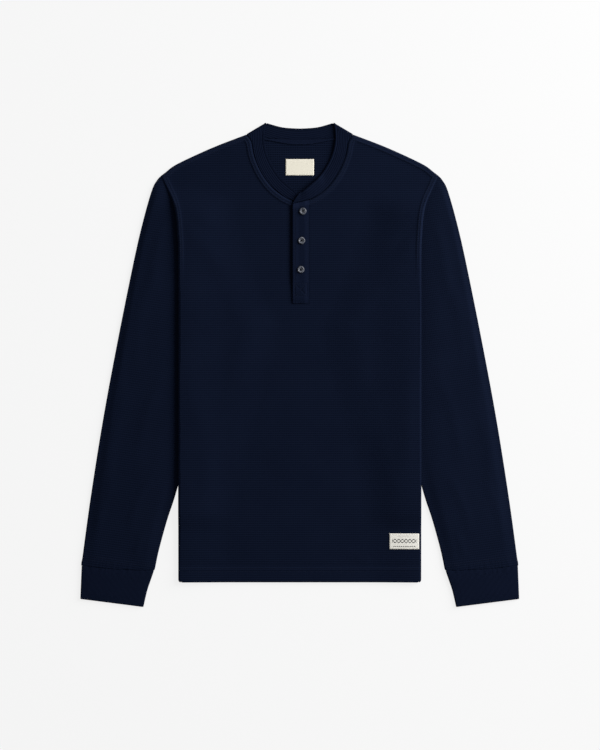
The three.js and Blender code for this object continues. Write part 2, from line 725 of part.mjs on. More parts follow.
const BUTTONS = [
  { x: 5.0, y: 245.9 },
  { x: 3.0, y: 199.0 },
  { x: 1.8, y: 152.6 },
];

const wasm = await Module();
wasm.setup();

function toSolid(geometry, matrix) {
  const points = geometry.clone().applyMatrix4(matrix);
  const names = Object.keys(points.attributes).filter((name) => name !== 'position');
  names.forEach((name) => points.deleteAttribute(name));
  const keys = new Map();
  const vertices = [];
  const position = points.getAttribute('position');
  const index = points.index ? [...points.index.array] : [...Array(position.count).keys()];
  const corners = index.map((k) => {
    const p = [position.getX(k), position.getY(k), position.getZ(k)].map((v) => Math.round(v * 1e4) / 1e4);
    const key = p.join();
    if (!keys.has(key)) {
      keys.set(key, keys.size);
      vertices.push(...p);
    }
    return keys.get(key);
  });
  const triangles = [];
  for (let k = 0; k < corners.length; k += 3) {
    const [a, b, c] = corners.slice(k, k + 3);
    if (a !== b && b !== c && c !== a) triangles.push(a, b, c);
  }
  const vertProperties = new Float32Array(vertices);
  return new wasm.Manifold(new wasm.Mesh({ numProp: 3, vertProperties, triVerts: new Uint32Array(triangles) }));
}

function fromSolid(solid) {
  const { vertProperties, triVerts } = solid.getMesh();
  const geometry = new THREE.BufferGeometry();
  geometry.setAttribute('position', new THREE.BufferAttribute(vertProperties, 3));
  geometry.setIndex(new THREE.BufferAttribute(triVerts, 1));
  return geometry.toNonIndexed();
}

/** A dished four-hole button, turned from its profile. */
function buttonSolid() {
  const rim = BUTTON_RADIUS;
  const profile = [
    [0, 0], [rim - 1.2, 0], [rim - 0.3, 0.6], [rim, 1.3], [rim - 0.4, BUTTON_HEIGHT - 0.2],
    [rim - 1.1, BUTTON_HEIGHT], [rim - 1.9, BUTTON_HEIGHT - 0.7], [0, BUTTON_HEIGHT - 0.8],
  ].map(([r, z]) => plan(r, z));
  const upright = new THREE.Matrix4().makeRotationX(Math.PI / 2);
  let solid = toSolid(new THREE.LatheGeometry(profile, 16), upright);
  const holeRadius = 0.85;
  const spacing = 1.45;
  const hole = new THREE.CylinderGeometry(holeRadius, holeRadius, 3 * BUTTON_HEIGHT, 6);
  for (let k = 0; k < 4; k += 1) {
    const angle = Math.PI / 4 + (k * Math.PI) / 2;
    const place = upright.clone().setPosition(spacing * Math.cos(angle), spacing * Math.sin(angle), 0);
    solid = solid.subtract(toSolid(hole, place));
  }
  return fromSolid(solid);
}

function makeButtons(placket) {
  const geometry = buttonSolid();
  BUTTONS.forEach(({ x, y }, k) => {
    const mesh = addPiece(`button_${k + 1}`, geometry.clone(), CLOTH.button);
    mesh.position.set(x, y, heightOn(placket, x, y) + GAP);
  });
}

const front = makeFront();
const back = makeBack();
const cuffSeam = makeSleeves();
makeCuffs(cuffSeam);
const bandSeam = makeNeckband();
makeNeckTape(back);
makeLabels(front, back);
makeButtons(makePlacket(bandSeam));

export default top;
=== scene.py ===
# %% [markdown]
# # A thermal top, laid flat
# The real object is a man's long-sleeved top of dark navy waffle knit, with three buttons at the neck. It lies
# on its back on a pale table with the sleeves folded down beside the body, and the camera looks straight down.
# Each cut piece of cloth is built here as a thin closed wall: two grids of points, one for each face of the
# cloth, worked out with numpy from the same outlines as the part. Sizes are in millimetres until a mesh is made.

import bpy
import numpy as np
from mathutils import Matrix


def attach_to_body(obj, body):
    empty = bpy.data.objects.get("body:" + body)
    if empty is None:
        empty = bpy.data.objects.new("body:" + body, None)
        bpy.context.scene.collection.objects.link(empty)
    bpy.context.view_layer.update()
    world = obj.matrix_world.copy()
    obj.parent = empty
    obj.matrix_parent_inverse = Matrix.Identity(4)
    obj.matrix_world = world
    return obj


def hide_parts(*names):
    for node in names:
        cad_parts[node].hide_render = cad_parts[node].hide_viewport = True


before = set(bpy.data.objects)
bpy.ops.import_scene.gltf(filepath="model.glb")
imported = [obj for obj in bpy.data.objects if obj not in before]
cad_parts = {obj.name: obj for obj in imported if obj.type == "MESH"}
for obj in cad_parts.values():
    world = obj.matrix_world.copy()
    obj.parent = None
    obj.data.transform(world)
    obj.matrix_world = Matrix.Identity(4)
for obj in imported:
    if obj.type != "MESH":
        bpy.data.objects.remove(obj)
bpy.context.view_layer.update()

# %% [markdown]
# ## The driving sizes
# Cloth is thin, so its thickness matters wherever two layers meet. These are the sizes of a mid-weight waffle
# knit, of the doubled rib at neck and wrists, and of the seams. The body's two layers lie on the sleeves at the
# sides, which is why its sides stand higher than its middle.

# %% Sizes
MM = 0.001
WALL = 1.5
RIB = 2.0
TAPE = 0.8
LABEL = 0.6
PLACKET = 1.8
GAP = 0.3

HALF_WIDTH = 194.4
HEM_Y = -347.8
HEM_BAND = 23
HEM_RISE = 0.6
SEAM_BAND = 9
SEAM_FOOT = 1.2
SEAM_RISE = 0.75
FOOT = SEAM_BAND + SEAM_FOOT
HEM_FOOT = HEM_Y + HEM_BAND + SEAM_FOOT
TUCK = 18
BODY_FLAT = 4.0
SIDE_RISE = 4.0
SHOULDER_FLAT = 3.5
NECK_RISE = 1.0

SLEEVE_FLAT = 3.4
CUFF_FLAT = 4.4
LIFT = SLEEVE_FLAT + GAP
SEAM_SAG = 1.6

PLACKET_LEFT = -11.8
PLACKET_RIGHT = 16.1
PLACKET_FOOT = 98.2
PLACKET_DIP = 1.1
BUTTON_RADIUS = 5.65
BUTTONS = [(5.0, 245.9), (3.0, 199.0), (1.8, 152.6)]

# %% [markdown]
# ## The outlines
# A pattern cutter draws half of a piece and folds the paper. These are the half outlines as x, y points, seen on
# the right: only as many points as the shape needs, because smooth curves are passed through them.

# %% Outlines
SHOULDER_POINT = np.array([222.0, 303.0])
ARMHOLE = np.array([(194.4, 175), (195.4, 205), (198.3, 240), (203.8, 262.5), (212, 281), SHOULDER_POINT])
ARMHOLE_FOOT = ARMHOLE[2]
SHOULDER = np.array([(86, 368.6), (129.7, 352), (166.5, 336), (199.3, 320), SHOULDER_POINT])
FRONT_NECK = np.array([(0, 261.5), (12, 263.2), (27, 270.2), (45.5, 285), (61.8, 307.5), (73.2, 334),
                       (78, 357), (86, 368.6)])
BACK_NECK = np.array([(0, 361.6), (30, 362.3), (60, 364.4), (86, 368.6)])
BAND_FRONT_EDGE = np.array([(10, 282), (20, 290.5), (33.8, 304.5), (49.8, 332), (56.7, 360.2), (54.4, 387.9)])
BAND_BACK_EDGE = np.array([(0, 378.7), (15.6, 379.4), (31.6, 381.4), (54.4, 387.9)])
SLEEVE_OUTER = np.array([SHOULDER_POINT, (228.4, 296), (236.7, 280), (250.5, 232), (265.4, 168), (291.3, 40),
                         (315.1, -88), (335.4, -216), (349.6, -320.7)])
SLEEVE_HIDDEN_CAP = np.array([(189, 200), (176, 160), (160, 122), (144, 90), (126, 62)])
SLEEVE_INNER = np.array([(126, 62), (161, -68), (195.8, -196.8), (212.2, -248), (225.4, -296),
                         (232.2, -328.5)])
CUFF_OUTER = np.array([(349.2, -321.2), (351.3, -374.5)])
CUFF_INNER = np.array([(233.2, -329), (238.8, -345), (244.4, -362), (250.3, -387.4)])

# %% [markdown]
# ## Curves through a few points
# A Catmull-Rom curve passes through every point that it is given, which suits an outline that was measured.
# Its points are then read off at even lengths, and moved sideways to draw the lines of a seam.

# %% Curves
def ramp(value, start, end):
    """0 before start, 1 past end, and the smooth step 3 t^2 - 2 t^3 between, whichever way it runs."""
    t = np.clip((value - start) / (end - start), 0, 1)
    return t * t * (3 - 2 * t)


def mix(a, b, share):
    """a at share 0, b at share 1, a straight line between."""
    return a + (b - a) * share


def unit(vectors):
    """Vectors divided by their length."""
    return vectors / np.linalg.norm(vectors, axis=-1, keepdims=True)


def curve(table, count=600):
    """Catmull-Rom: between two points, the cubic whose slope at each is half the way between its neighbours."""
    p = np.asarray(table, float)
    padded = np.vstack([p[:1], p, p[-1:]])
    t = np.linspace(0, len(p) - 1, count)
    k = np.minimum(t.astype(int), len(p) - 2)
    w = (t - k)[:, None]
    p0, p1, p2, p3 = (padded[k + step] for step in range(4))
    v1, v2 = (p2 - p0) / 2, (p3 - p1) / 2
    return (2 * p1 - 2 * p2 + v1 + v2) * w**3 + (3 * p2 - 3 * p1 - 2 * v1 - v2) * w**2 + v1 * w + p1


def shares_of(line):
    """Each point's distance along a line, as a share of the line's length."""
    steps = np.linalg.norm(np.diff(line, axis=0), axis=1)
    total = np.concatenate([[0], np.cumsum(steps)])
    return total / total[-1]


def length_of(line):
    return np.linalg.norm(np.diff(line, axis=0), axis=1).sum()


def read(line, keys, at):
    """Each column of a line, read against rising keys by straight lines."""
    return np.stack([np.interp(at, keys, line[:, k]) for k in range(line.shape[1])], axis=-1)


def along(line, shares):
    """Points of a line at shares of its length."""
    return read(line, shares_of(line), shares)


def beside(line, distance):
    """A line moved to the right of its direction, along the mean normal over one plus the normals' product."""
    step = unit(np.diff(line, axis=0))
    normal = np.stack([step[:, 1], -step[:, 0]], axis=1)
    before = np.vstack([normal[:1], normal])
    after = np.vstack([normal, normal[-1:]])
    return line + distance * (before + after) / (1 + (before * after).sum(1, keepdims=True))


def patch(bottom, top, left, right, across, up):
    """Coons patch: rows and columns blended between four lines, less the blend of the four corners."""
    u, v = across[None, :, None], up[:, None, None]
    rows = mix(bottom[None], top[None], v)
    columns = mix(left[:, None], right[:, None], u)
    corners = mix(mix(bottom[0], bottom[-1], u), mix(top[0], top[-1], u), v)
    return rows + columns - corners


def mirror(points):
    """Points on the other side of the middle."""
    return points * np.array([-1.0] + [1.0] * (points.shape[-1] - 1))


# %% [markdown]
# ## How high the cloth lies
# The back rests on the table in the middle and is lifted by the hidden sleeves at the sides. The front lies on
# the back, fuller at the side folds, thinner at the shoulder seams, and with room for the band at the neck.
# Both are smooth functions of the place, so anything laid on the front can ask for its height.

# %% Heights
SIDE_CURVE = curve(np.vstack([[(HALF_WIDTH, -500), (HALF_WIDTH, -200), (HALF_WIDTH, 60)], ARMHOLE]), 2000)
HIDDEN_EDGE = np.vstack([SLEEVE_INNER[2:0:-1], SLEEVE_HIDDEN_CAP[::-1], [ARMHOLE_FOOT]])


def side_x(y):
    """x of the body's side fold, or of the armhole seam, at a height y."""
    return np.interp(y, SIDE_CURVE[:, 1], SIDE_CURVE[:, 0])


def underside(x, y):
    """Lift over the hidden sleeve: three ramps multiplied, across it, down from its top and up from its end."""
    edge = np.interp(y, HIDDEN_EDGE[:, 1], HIDDEN_EDGE[:, 0])
    return LIFT * ramp(abs(x) - edge, -100, -34) * ramp(y, 285, 242) * ramp(y, -268, -232)


def body_height(x, y):
    """Height of the two layers: flat, plus a rise at the sides, less one at the shoulders, plus the neck's."""
    out = abs(x)
    side = ramp(out, 110, 185) * ramp(y, 300, 235) * (1 - 0.3 * ramp(y, -250, -345))
    shoulder = ramp(out, 150, 215) * ramp(y, 270, 303)
    neck = ramp(out, 160, 95) * ramp(y, 300, 350)
    return BODY_FLAT + SIDE_RISE * side - (BODY_FLAT - SHOULDER_FLAT) * shoulder + NECK_RISE * neck


def front_top(x, y):
    return underside(x, y) + body_height(x, y)


# %% [markdown]
# ## Soft creases
# Laid cloth is never quite even. A crease is a long low ridge or trough: a bell curve across it, faded out at
# both ends. The real top was smoothed by hand before the photo, so these are few, shallow and all unlike.

# %% Creases
FRONT_CREASES = [
    # x and y of both ends, width across, height
    (-186, 214, -120, 150, 13, 0.55),
    (-190, 238, -138, 205, 9, -0.4),
    (188, 206, 132, 138, 14, 0.6),
    (190, 232, 150, 188, 8, -0.45),
    (-172, -40, -150, -215, 16, 0.5),
    (176, -20, 158, -190, 18, 0.5),
    (-96, -150, -30, -188, 20, -0.4),
    (38, 60, 96, 8, 18, -0.35),
    (60, -118, 128, -96, 17, 0.4),
    (-60, 84, -104, 22, 19, 0.4),
    (-168, -300, -120, -318, 9, 0.4),
    (70, -300, 112, -316, 8, 0.35),
]
SLEEVE_CREASES = [
    (214, 230, 236, 120, 9, 0.6),
    (232, 150, 262, 10, 11, 0.7),
    (262, 90, 286, -60, 9, 0.5),
    (222, -20, 258, -150, 10, 0.6),
    (286, -70, 304, -200, 9, 0.55),
    (238, -178, 272, -262, 8, 0.6),
    (300, -190, 322, -262, 7, 0.45),
    (250, -268, 262, -306, 6, 0.5),
]


def creases(table, x, y, shift=0.0):
    """Sum of bells: height times exp of minus the squared distance to a line over its width, faded at ends."""
    total = np.zeros_like(x)
    for x0, y0, x1, y1, width, height in table:
        dx, dy = x1 - x0, y1 - y0
        size = np.hypot(dx, dy)
        t = ((x - x0) * dx + (y - y0 - shift) * dy) / size**2
        bend = 0.05 * size * np.sin(np.pi * t)
        across = ((x - x0) * dy - (y - y0 - shift) * dx) / size + bend
        fade = ramp(t, -0.25, 0.3) * ramp(t, 1.25, 0.7)
        total = total + height * fade * np.exp(-(across / width) ** 2)
    return total


def front_surface(x, y):
    """Height of the front's outer face away from its seams."""
    inside = ramp(abs(x), HALF_WIDTH - 3, HALF_WIDTH - 22) * ramp(abs(x) + abs(y - 180), 0, 60)
    beside_placket = ramp(x, PLACKET_LEFT - 15, PLACKET_LEFT) * (x < 0) * ramp(y, 108, 150)
    return front_top(x, y) + creases(FRONT_CREASES, x, y) * inside - PLACKET_DIP * beside_placket


# %% [markdown]
# ## A wall of cloth from two grids
# Every piece ends here: an outer and an inner grid of points become one closed mesh. Each cell of the grid gives
# a face on both sides, and wherever a cell has no neighbour the two sides are joined by a narrow face, so the
# cloth has real edges and could be printed. The texture coordinates are the cloth's own sizes in metres.

# %% Closed walls
def quad_mesh(name, points, faces, places=None, corners=None, seam=None):
    """A mesh of quads from an array of points in mm and an array of four corners a face. The seam attribute says
    at each point how much paler a seam's band is, for its pale thread and as a painted highlight, or below 0 how
    much a rib's edge is darkened with painted shade."""
    used, compact = np.unique(faces, return_inverse=True)
    compact = compact.reshape(faces.shape)
    mesh = bpy.data.meshes.new(name)
    mesh.vertices.add(len(used))
    mesh.vertices.foreach_set("co", (points[used] * MM).astype(np.float32).ravel())
    mesh.loops.add(compact.size)
    mesh.loops.foreach_set("vertex_index", compact.astype(np.int32).ravel())
    mesh.polygons.add(len(compact))
    mesh.polygons.foreach_set("loop_start", np.arange(len(compact), dtype=np.int32) * 4)
    if places is not None:
        layer = mesh.uv_layers.new(name="cloth")
        layer.data.foreach_set("uv", (places[corners.ravel()] * MM).astype(np.float32).ravel())
    if seam is not None:
        thread_and_painted_light = mesh.attributes.new("seam", "FLOAT", "POINT")
        thread_and_painted_light.data.foreach_set("value", seam[used].astype(np.float32))
    mesh.update(calc_edges=True)
    mesh.shade_smooth()
    mesh.set_sharp_from_angle(angle=np.radians(55))
    piece = bpy.data.objects.new(name, mesh)
    bpy.context.scene.collection.objects.link(piece)
    print(f"{name}: {2 * len(compact)} triangles")
    return piece


def wall_mesh(name, outer, inner, places, there=None, ring=False, seam=None):
    """The closed mesh between two grids. In a ring the last column joins the first. The seam attribute is that
    of the outer grid; the inner one has none."""
    rows, columns = outer.shape[:2]
    cells = columns if ring else columns - 1
    if there is None:
        there = np.ones((rows - 1, cells), bool)
    j, i = np.nonzero(there)
    turns = [(0, 0), (0, 1), (1, 1), (1, 0)]
    corner = np.stack([(j + dj) * columns + (i + di) % columns for dj, di in turns], axis=1)
    wide = places.shape[1]
    place = np.stack([(j + dj) * wide + i + di for dj, di in turns], axis=1)
    count = rows * columns
    faces = [corner, corner[:, ::-1] + count]
    spots = [place, place[:, ::-1]]
    for k, (dj, di) in enumerate([(-1, 0), (0, 1), (1, 0), (0, -1)]):
        row, column = j + dj, i + di
        column = column % cells if ring else column
        outside = (row < 0) | (row >= rows - 1) | (column < 0) | (column >= cells)
        missing = ~there[np.clip(row, 0, rows - 2), np.clip(column, 0, cells - 1)]
        edge = outside | missing
        p, q = corner[edge, k], corner[edge, (k + 1) % 4]
        a, b = place[edge, k], place[edge, (k + 1) % 4]
        faces.append(np.stack([p, p + count, q + count, q], axis=1))
        spots.append(np.stack([a, a, b, b], axis=1))
    points = np.concatenate([outer.reshape(-1, 3), inner.reshape(-1, 3)])
    thread_and_painted_light = None if seam is None else np.concatenate([seam.ravel(), np.zeros(count)])
    return quad_mesh(name, points, np.concatenate(faces), places.reshape(-1, 2), np.concatenate(spots), thread_and_painted_light)


def lift(plan, z):
    """Plan points with a height."""
    return np.concatenate([plan, np.broadcast_to(z, plan.shape[:-1])[..., None]], axis=-1)


# %% [markdown]
# ## The relief of a cover-stitched seam
# A flat seam has its allowance pressed to one side and sewn down with two rows of stitches. On the face it shows
# as a raised band 9 mm wide with two soft ridges and a line between them, which runs out softly into the cloth.
# The relief depends only on the distance from the seam, and so does the band's paler tone, partly its thread and
# partly a painted highlight. Down the side, below the armhole, the band fades out between two heights.

# %% Seam relief
ROW_NEAR = 3.2
ROW_FAR = 7.4
BAND_FADE = (120, 200)


def bell(value, middle, width):
    """exp of minus the squared distance from the middle over the width."""
    return np.exp(-((value - middle) / width) ** 2)


def seam_relief(distance):
    """Band: a soft step down at its end, two ridges and a line between them."""
    band = SEAM_RISE * ramp(distance, FOOT, SEAM_BAND - 2.2)
    ridges = 0.32 * bell(distance, ROW_NEAR, 1.5) + 0.22 * bell(distance, ROW_FAR, 1.4)
    return band + ridges


def seam_thread_and_highlight(distance):
    """1 on the band, 0 past its end: the paler tone of its thread, and partly a painted highlight."""
    return ramp(distance, SEAM_BAND + 0.2, SEAM_BAND - 2.2)


def hem_relief(distance):
    """Turned-up hem: raised up to its stitching, with two fine grooves where the thread pulls it in."""
    band = HEM_RISE * ramp(distance, HEM_BAND + SEAM_FOOT, HEM_BAND - 0.3)
    grooves = 0.3 * bell(distance, HEM_BAND - 0.6, 0.7) + 0.22 * bell(distance, HEM_BAND - 5.6, 0.8)
    return band - grooves - 0.25 * bell(distance, HEM_BAND + SEAM_FOOT, 0.8)


# %% [markdown]
# ## The front
# The front is one piece with a slot for the placket. Its grid has rows that follow the neckline and shoulder and
# columns that follow the armhole, so each seam's relief is exactly parallel to its seam. At the sides the last
# columns run round the fold and 18 mm back underneath, as the real cloth does.

# %% Front panel
SIDE_STEPS = np.array([10.2, 9.6, 9.0, 8.3, 7.4, 6.6, 5.7, 4.9, 4.2, 3.5])
TOP_STEPS = np.array([10.2, 9.6, 9.0, 8.3, 7.4, 6.6, 5.7, 4.9, 4.1, 3.3, 2.5, 1.8, 1.2, 0.7, 0.35, 0.12, 0.0])
HEM_STEPS = np.array([0, 0.15, 0.5, 1.1, 2.2, 4.5, 8, 12, 15, 16.4, 17.4, 18.4, 20, 21.4, 22.4, 23.1, 23.7])
NECK_COLUMNS = 34
SHOULDER_COLUMNS = 36
SLOT_COLUMNS = 8
CORE_ROWS = 150
PLACKET_ROW = 110
ARMHOLE_ROW = 134
FOLD_STEPS = 14
HEM_CORNER = 4.0


def shoulder_corner(from_armhole, from_shoulder):
    """The point at these distances in from the armhole and the shoulder line: a sum along both directions."""
    inwards = unit(SHOULDER[3] - SHOULDER_POINT)
    down = unit(ARMHOLE[-2] - SHOULDER_POINT)
    sine = abs(inwards[0] * down[1] - inwards[1] * down[0])
    return SHOULDER_POINT + (inwards * from_armhole + down * from_shoulder) / sine


def top_line(neck_table, middle_x, distance, reach, neck_columns, shoulder_columns):
    """Neckline and shoulder line moved into the panel, each cut short by the distance times tan of half the
    turn between them, and read off evenly."""
    neck = curve(neck_table)
    shoulder = curve(np.vstack([SHOULDER[:4], [shoulder_corner(reach, 0)]]))
    way_in, way_out = unit(neck[-1] - neck[-3]), unit(shoulder[2] - shoulder[0])
    cut = distance * np.tan(np.arccos(way_in @ way_out) / 2)
    moved = beside(neck, distance)
    shares = shares_of(neck)
    first = np.interp(middle_x, moved[:, 0], shares)
    last = 1 - cut / length_of(neck)
    neck_part = read(moved, shares, np.linspace(first, last, neck_columns + 1))
    start = cut / length_of(shoulder)
    even = np.linspace(start, 1, shoulder_columns + 1)[1:]
    shoulder_part = read(beside(shoulder, distance), shares_of(shoulder), even)
    shoulder_part[-1] = shoulder_corner(reach, distance)
    return np.vstack([neck_part, shoulder_part])


def side_line(low_y, split_y, top_point, low_rows, high_rows):
    """The body's side from its hem to its shoulder: rows evenly up to the armhole's foot, and evenly above."""
    y = np.concatenate([np.linspace(low_y, split_y, low_rows + 1),
                        np.linspace(split_y, top_point[1], high_rows + 1)[1:]])
    line = np.stack([side_x(y), y], axis=1)
    line[-1] = top_point
    return line


def column_shares(line):
    """Half even steps and half steps in proportion to x, from 0 to 1."""
    x = line[:, 0]
    return 0.5 * (x - x[0]) / (x[-1] - x[0]) + 0.5 * np.linspace(0, 1, len(x))


def row_shares(left, right):
    """Mean of two lines' heights as shares from 0 to 1."""
    share = [(line[:, 1] - line[0, 1]) / (line[-1, 1] - line[0, 1]) for line in (left, right)]
    return (share[0] + share[1]) / 2


def front_half(middle_x):
    """Plan of half the front: a Coons patch inside, then the seams' own columns and rows round it."""
    lines = [top_line(FRONT_NECK, middle_x, d, FOOT, NECK_COLUMNS, SHOULDER_COLUMNS) for d in TOP_STEPS]
    side = side_line(HEM_FOOT, ARMHOLE_FOOT[1], shoulder_corner(0, FOOT), ARMHOLE_ROW, CORE_ROWS - ARMHOLE_ROW)
    columns = [beside(side, -d) for d in SIDE_STEPS]
    for column, d in zip(columns, SIDE_STEPS):
        column[-1] = shoulder_corner(d, FOOT)
    slot_top = PLACKET_FOOT - GAP
    middle_y = np.concatenate([np.linspace(HEM_FOOT, slot_top, PLACKET_ROW + 1),
                               np.linspace(slot_top, lines[0][0, 1], CORE_ROWS - PLACKET_ROW + 1)[1:]])
    middle = np.stack([np.full_like(middle_y, middle_x), middle_y], axis=1)
    middle[-1] = lines[0][0]
    across = column_shares(lines[0])
    hem_x = mix(middle_x, HALF_WIDTH - FOOT, across)
    hem = np.stack([hem_x, np.full_like(hem_x, HEM_FOOT)], axis=1)
    core = patch(hem, lines[0], middle, columns[0], across, row_shares(middle, columns[0]))
    rows = np.concatenate([core, np.stack(columns[1:], axis=1)], axis=1)
    hem_rows = np.stack([lift(rows[0][:, :1], HEM_Y + d) for d in HEM_STEPS])
    top_rows = np.stack([
        np.vstack([line] + [shoulder_corner(d, down)[None] for d in SIDE_STEPS[1:]])
        for line, down in zip(lines[1:], TOP_STEPS[1:])])
    corner_in = HEM_CORNER - np.sqrt(HEM_CORNER**2 - np.clip(HEM_CORNER - HEM_STEPS, 0, None) ** 2)
    hem_rows[..., 0] -= corner_in[:, None] * ramp(hem_rows[..., 0], HALF_WIDTH - 30, HALF_WIDTH - 3.5)
    edge = np.vstack([
        np.stack([HALF_WIDTH - corner_in, HEM_Y + HEM_STEPS], axis=1), side,
        np.stack([shoulder_corner(0, d) for d in TOP_STEPS[1:]])])
    return np.concatenate([hem_rows, rows, top_rows]), edge


def side_fold(edge, base, height, rise, tuck_steps=4):
    """Outer and inner points round a side fold: a half circle about the mid height, then back underneath."""
    radius = (height / 2)[:, None]
    middle = base[:, None] + radius
    out = np.gradient(edge, axis=0)
    out = unit(np.stack([out[:, 1], -out[:, 0]], axis=1))[:, None]
    angle = np.linspace(0, np.pi, FOLD_STEPS + 1)[None]

    def ring(size):
        plan = edge[:, None] + out * (size * np.sin(angle) - radius)[..., None]
        return plan, middle + size * np.cos(angle)

    far, far_z = ring(radius)
    near, near_z = ring(radius - WALL)
    far_z = far_z + rise[:, None] * np.maximum(np.cos(angle), 0)
    back = np.linspace(0, TUCK, tuck_steps + 1)[None, 1:]
    start = np.maximum(back, height[:, None] / 2 + 0.5 * back)
    under = lift(edge[:, :1][:, None] - start[..., None], edge[:, 1:])
    bottom = underside(under[..., 0], under[..., 1])
    outer = np.concatenate([lift(far, far_z), lift(under, bottom)], axis=1)
    inner = np.concatenate([lift(near, near_z), lift(under, bottom + WALL)], axis=1)
    return outer, inner


def make_front():
    """Both halves joined across the slot, raised to the front's height, with the folds at both sides."""
    right, edge = front_half(PLACKET_RIGHT)
    left = mirror(front_half(-PLACKET_LEFT + GAP)[0])[:, ::-1]
    share = np.linspace(0, 1, SLOT_COLUMNS + 1)[1:-1]
    slot = mix(left[:, -1:], right[:, :1], share[None, :, None])
    plan = np.concatenate([left, slot, right], axis=1)
    x, y = plan[..., 0], plan[..., 1]

    hem_count = len(HEM_STEPS)
    far = 50.0
    from_top = np.full(len(plan), far)
    from_top[hem_count + CORE_ROWS:] = TOP_STEPS
    from_side = np.full(right.shape[1], far)
    from_side[-len(SIDE_STEPS):] = SIDE_STEPS
    from_side = np.concatenate([from_side[::-1], np.full(len(share), far), from_side])
    from_hem = edge[:, 1] - HEM_Y

    at_top = seam_relief(from_top)[:, None]
    on_armhole = ramp(y, *BAND_FADE)
    at_side = seam_relief(from_side)[None] * on_armhole
    relief = np.where(abs(at_top) > abs(at_side), at_top, at_side)
    # A seam's band is paler: partly its thread, partly a painted highlight.
    thread_and_painted_light = np.maximum(seam_thread_and_highlight(from_top)[:, None], seam_thread_and_highlight(from_side)[None] * on_armhole)
    at_hem = np.where(from_hem < 30, hem_relief(from_hem), 0)
    relief = relief + at_hem[:, None]

    on_shoulder = ramp(abs(x), 80, 90)
    seam_drop = (body_height(x, y) - SHOULDER_FLAT) * on_shoulder * ramp(from_top, SEAM_BAND, 0)[:, None]
    round_off = 1 - np.sqrt(1 - (1 - np.clip(from_top / 2.4, 0, 1)) ** 2)
    round_hem = 1 - np.sqrt(1 - (1 - np.clip(from_hem / 1.2, 0, 1)) ** 2)
    drop = seam_drop + (1.5 * round_off + 1.0 * round_hem)[:, None]
    top = front_surface(x, y) + relief - drop
    lid = lift(plan, top)
    lining = lift(plan, np.minimum(front_surface(x, y) - WALL - seam_drop, top - 0.4))

    base = underside(edge[:, 0], edge[:, 1])
    height = body_height(edge[:, 0], edge[:, 1])
    edge_rise = seam_relief(SIDE_STEPS[-1]) * ramp(edge[:, 1], *BAND_FADE) + at_hem
    fold, fold_in = side_fold(edge, base, height, edge_rise - 1.0 * round_hem)
    outer = np.concatenate([mirror(fold)[:, ::-1], lid, fold], axis=1)
    inner = np.concatenate([mirror(fold_in)[:, ::-1], lining, fold_in], axis=1)

    rows, columns = outer.shape[:2]
    there = np.ones((rows - 1, columns - 1), bool)
    slot_first = fold.shape[1] + left.shape[1] - 1
    there[hem_count + PLACKET_ROW:, slot_first:slot_first + SLOT_COLUMNS] = False
    half_round = FOLD_STEPS // 2
    beyond = fold.shape[1] - 1 - half_round
    there[hem_count + ARMHOLE_ROW:, :beyond] = False
    there[hem_count + ARMHOLE_ROW:, columns - 1 - beyond:] = False

    steps = np.linalg.norm(np.diff(np.concatenate([lid[:, -1:], fold], axis=1), axis=1), axis=2)
    side_u = x[:, -1:] + np.cumsum(steps, axis=1)
    u = np.concatenate([-side_u[:, ::-1], x, side_u], axis=1)
    places = np.stack([u, outer[..., 1]], axis=-1)
    fold_thread_and_highlight = np.repeat(thread_and_painted_light[:, -1:], fold.shape[1], axis=1)
    seam = np.concatenate([fold_thread_and_highlight, thread_and_painted_light, fold_thread_and_highlight], axis=1)
    return wall_mesh("front_cloth", outer, inner, places, there, seam=seam)


front = make_front()

# %% [markdown]
# ## The back
# The back shows only through the neck, but it is a whole piece: it fills the outline between the two strips of
# the front that are turned under, and has the full armholes above them.

# %% Back panel
BACK_NECK_COLUMNS = 26
BACK_SHOULDER_COLUMNS = 26
BACK_LOW_ROWS = 100
BACK_HIGH_ROWS = 20
BACK_STRIP_COLUMNS = 6


def make_back():
    """A Coons patch for half the back, with the strips beyond it kept only above the armhole's foot."""
    strip = TUCK + GAP
    foot = ARMHOLE_FOOT[1] + 2 * GAP
    side = side_line(HEM_Y, foot, shoulder_corner(0, 0), BACK_LOW_ROWS, BACK_HIGH_ROWS)
    side_in = side - np.array([strip, 0])
    top = top_line(BACK_NECK, 0, 0, strip, BACK_NECK_COLUMNS, BACK_SHOULDER_COLUMNS)
    side_in[-1] = top[-1]
    middle = np.stack([np.zeros(len(side)), np.linspace(HEM_Y, BACK_NECK[0, 1], len(side))], axis=1)
    across = column_shares(top)
    hem = np.stack([mix(0, HALF_WIDTH - strip, across), np.full(len(top), HEM_Y)], axis=1)
    core = patch(hem, top, middle, side_in, across, row_shares(middle, side_in))
    share = np.linspace(0, 1, BACK_STRIP_COLUMNS + 1)[1:]
    half = np.concatenate([core, mix(side_in[:, None], side[:, None], share[None, :, None])], axis=1)
    plan = np.concatenate([mirror(half)[:, :0:-1], half], axis=1)
    bottom = underside(plan[..., 0], plan[..., 1])
    there = np.ones((plan.shape[0] - 1, plan.shape[1] - 1), bool)
    there[:BACK_LOW_ROWS, :BACK_STRIP_COLUMNS] = False
    there[:BACK_LOW_ROWS, -BACK_STRIP_COLUMNS:] = False
    return wall_mesh("back_cloth", lift(plan, bottom + WALL), lift(plan, bottom), plan, there)


back = make_back()

# %% [markdown]
# ## The sleeves
# A sleeve is a flattened tube. Its plan is a Coons patch between the armhole, the cuff seam and its two long
# edges, and the top of the tube is a little fuller where nothing lies on it. Part of it runs on under the
# body's side, tucked well in below the armhole's foot, and it swells steeply beside the body and then levels out.
# The other sleeve is its mirror image.

# %% Flattened tubes
CAP_SHARE = 0.375
ACROSS = np.concatenate([[0], np.linspace(0.03, CAP_SHARE, 24), np.linspace(CAP_SHARE, 0.97, 28)[1:], [1]])
SLEEVE_ROWS = 150
CUFF_ROWS = 30
EDGE_STEPS = 12


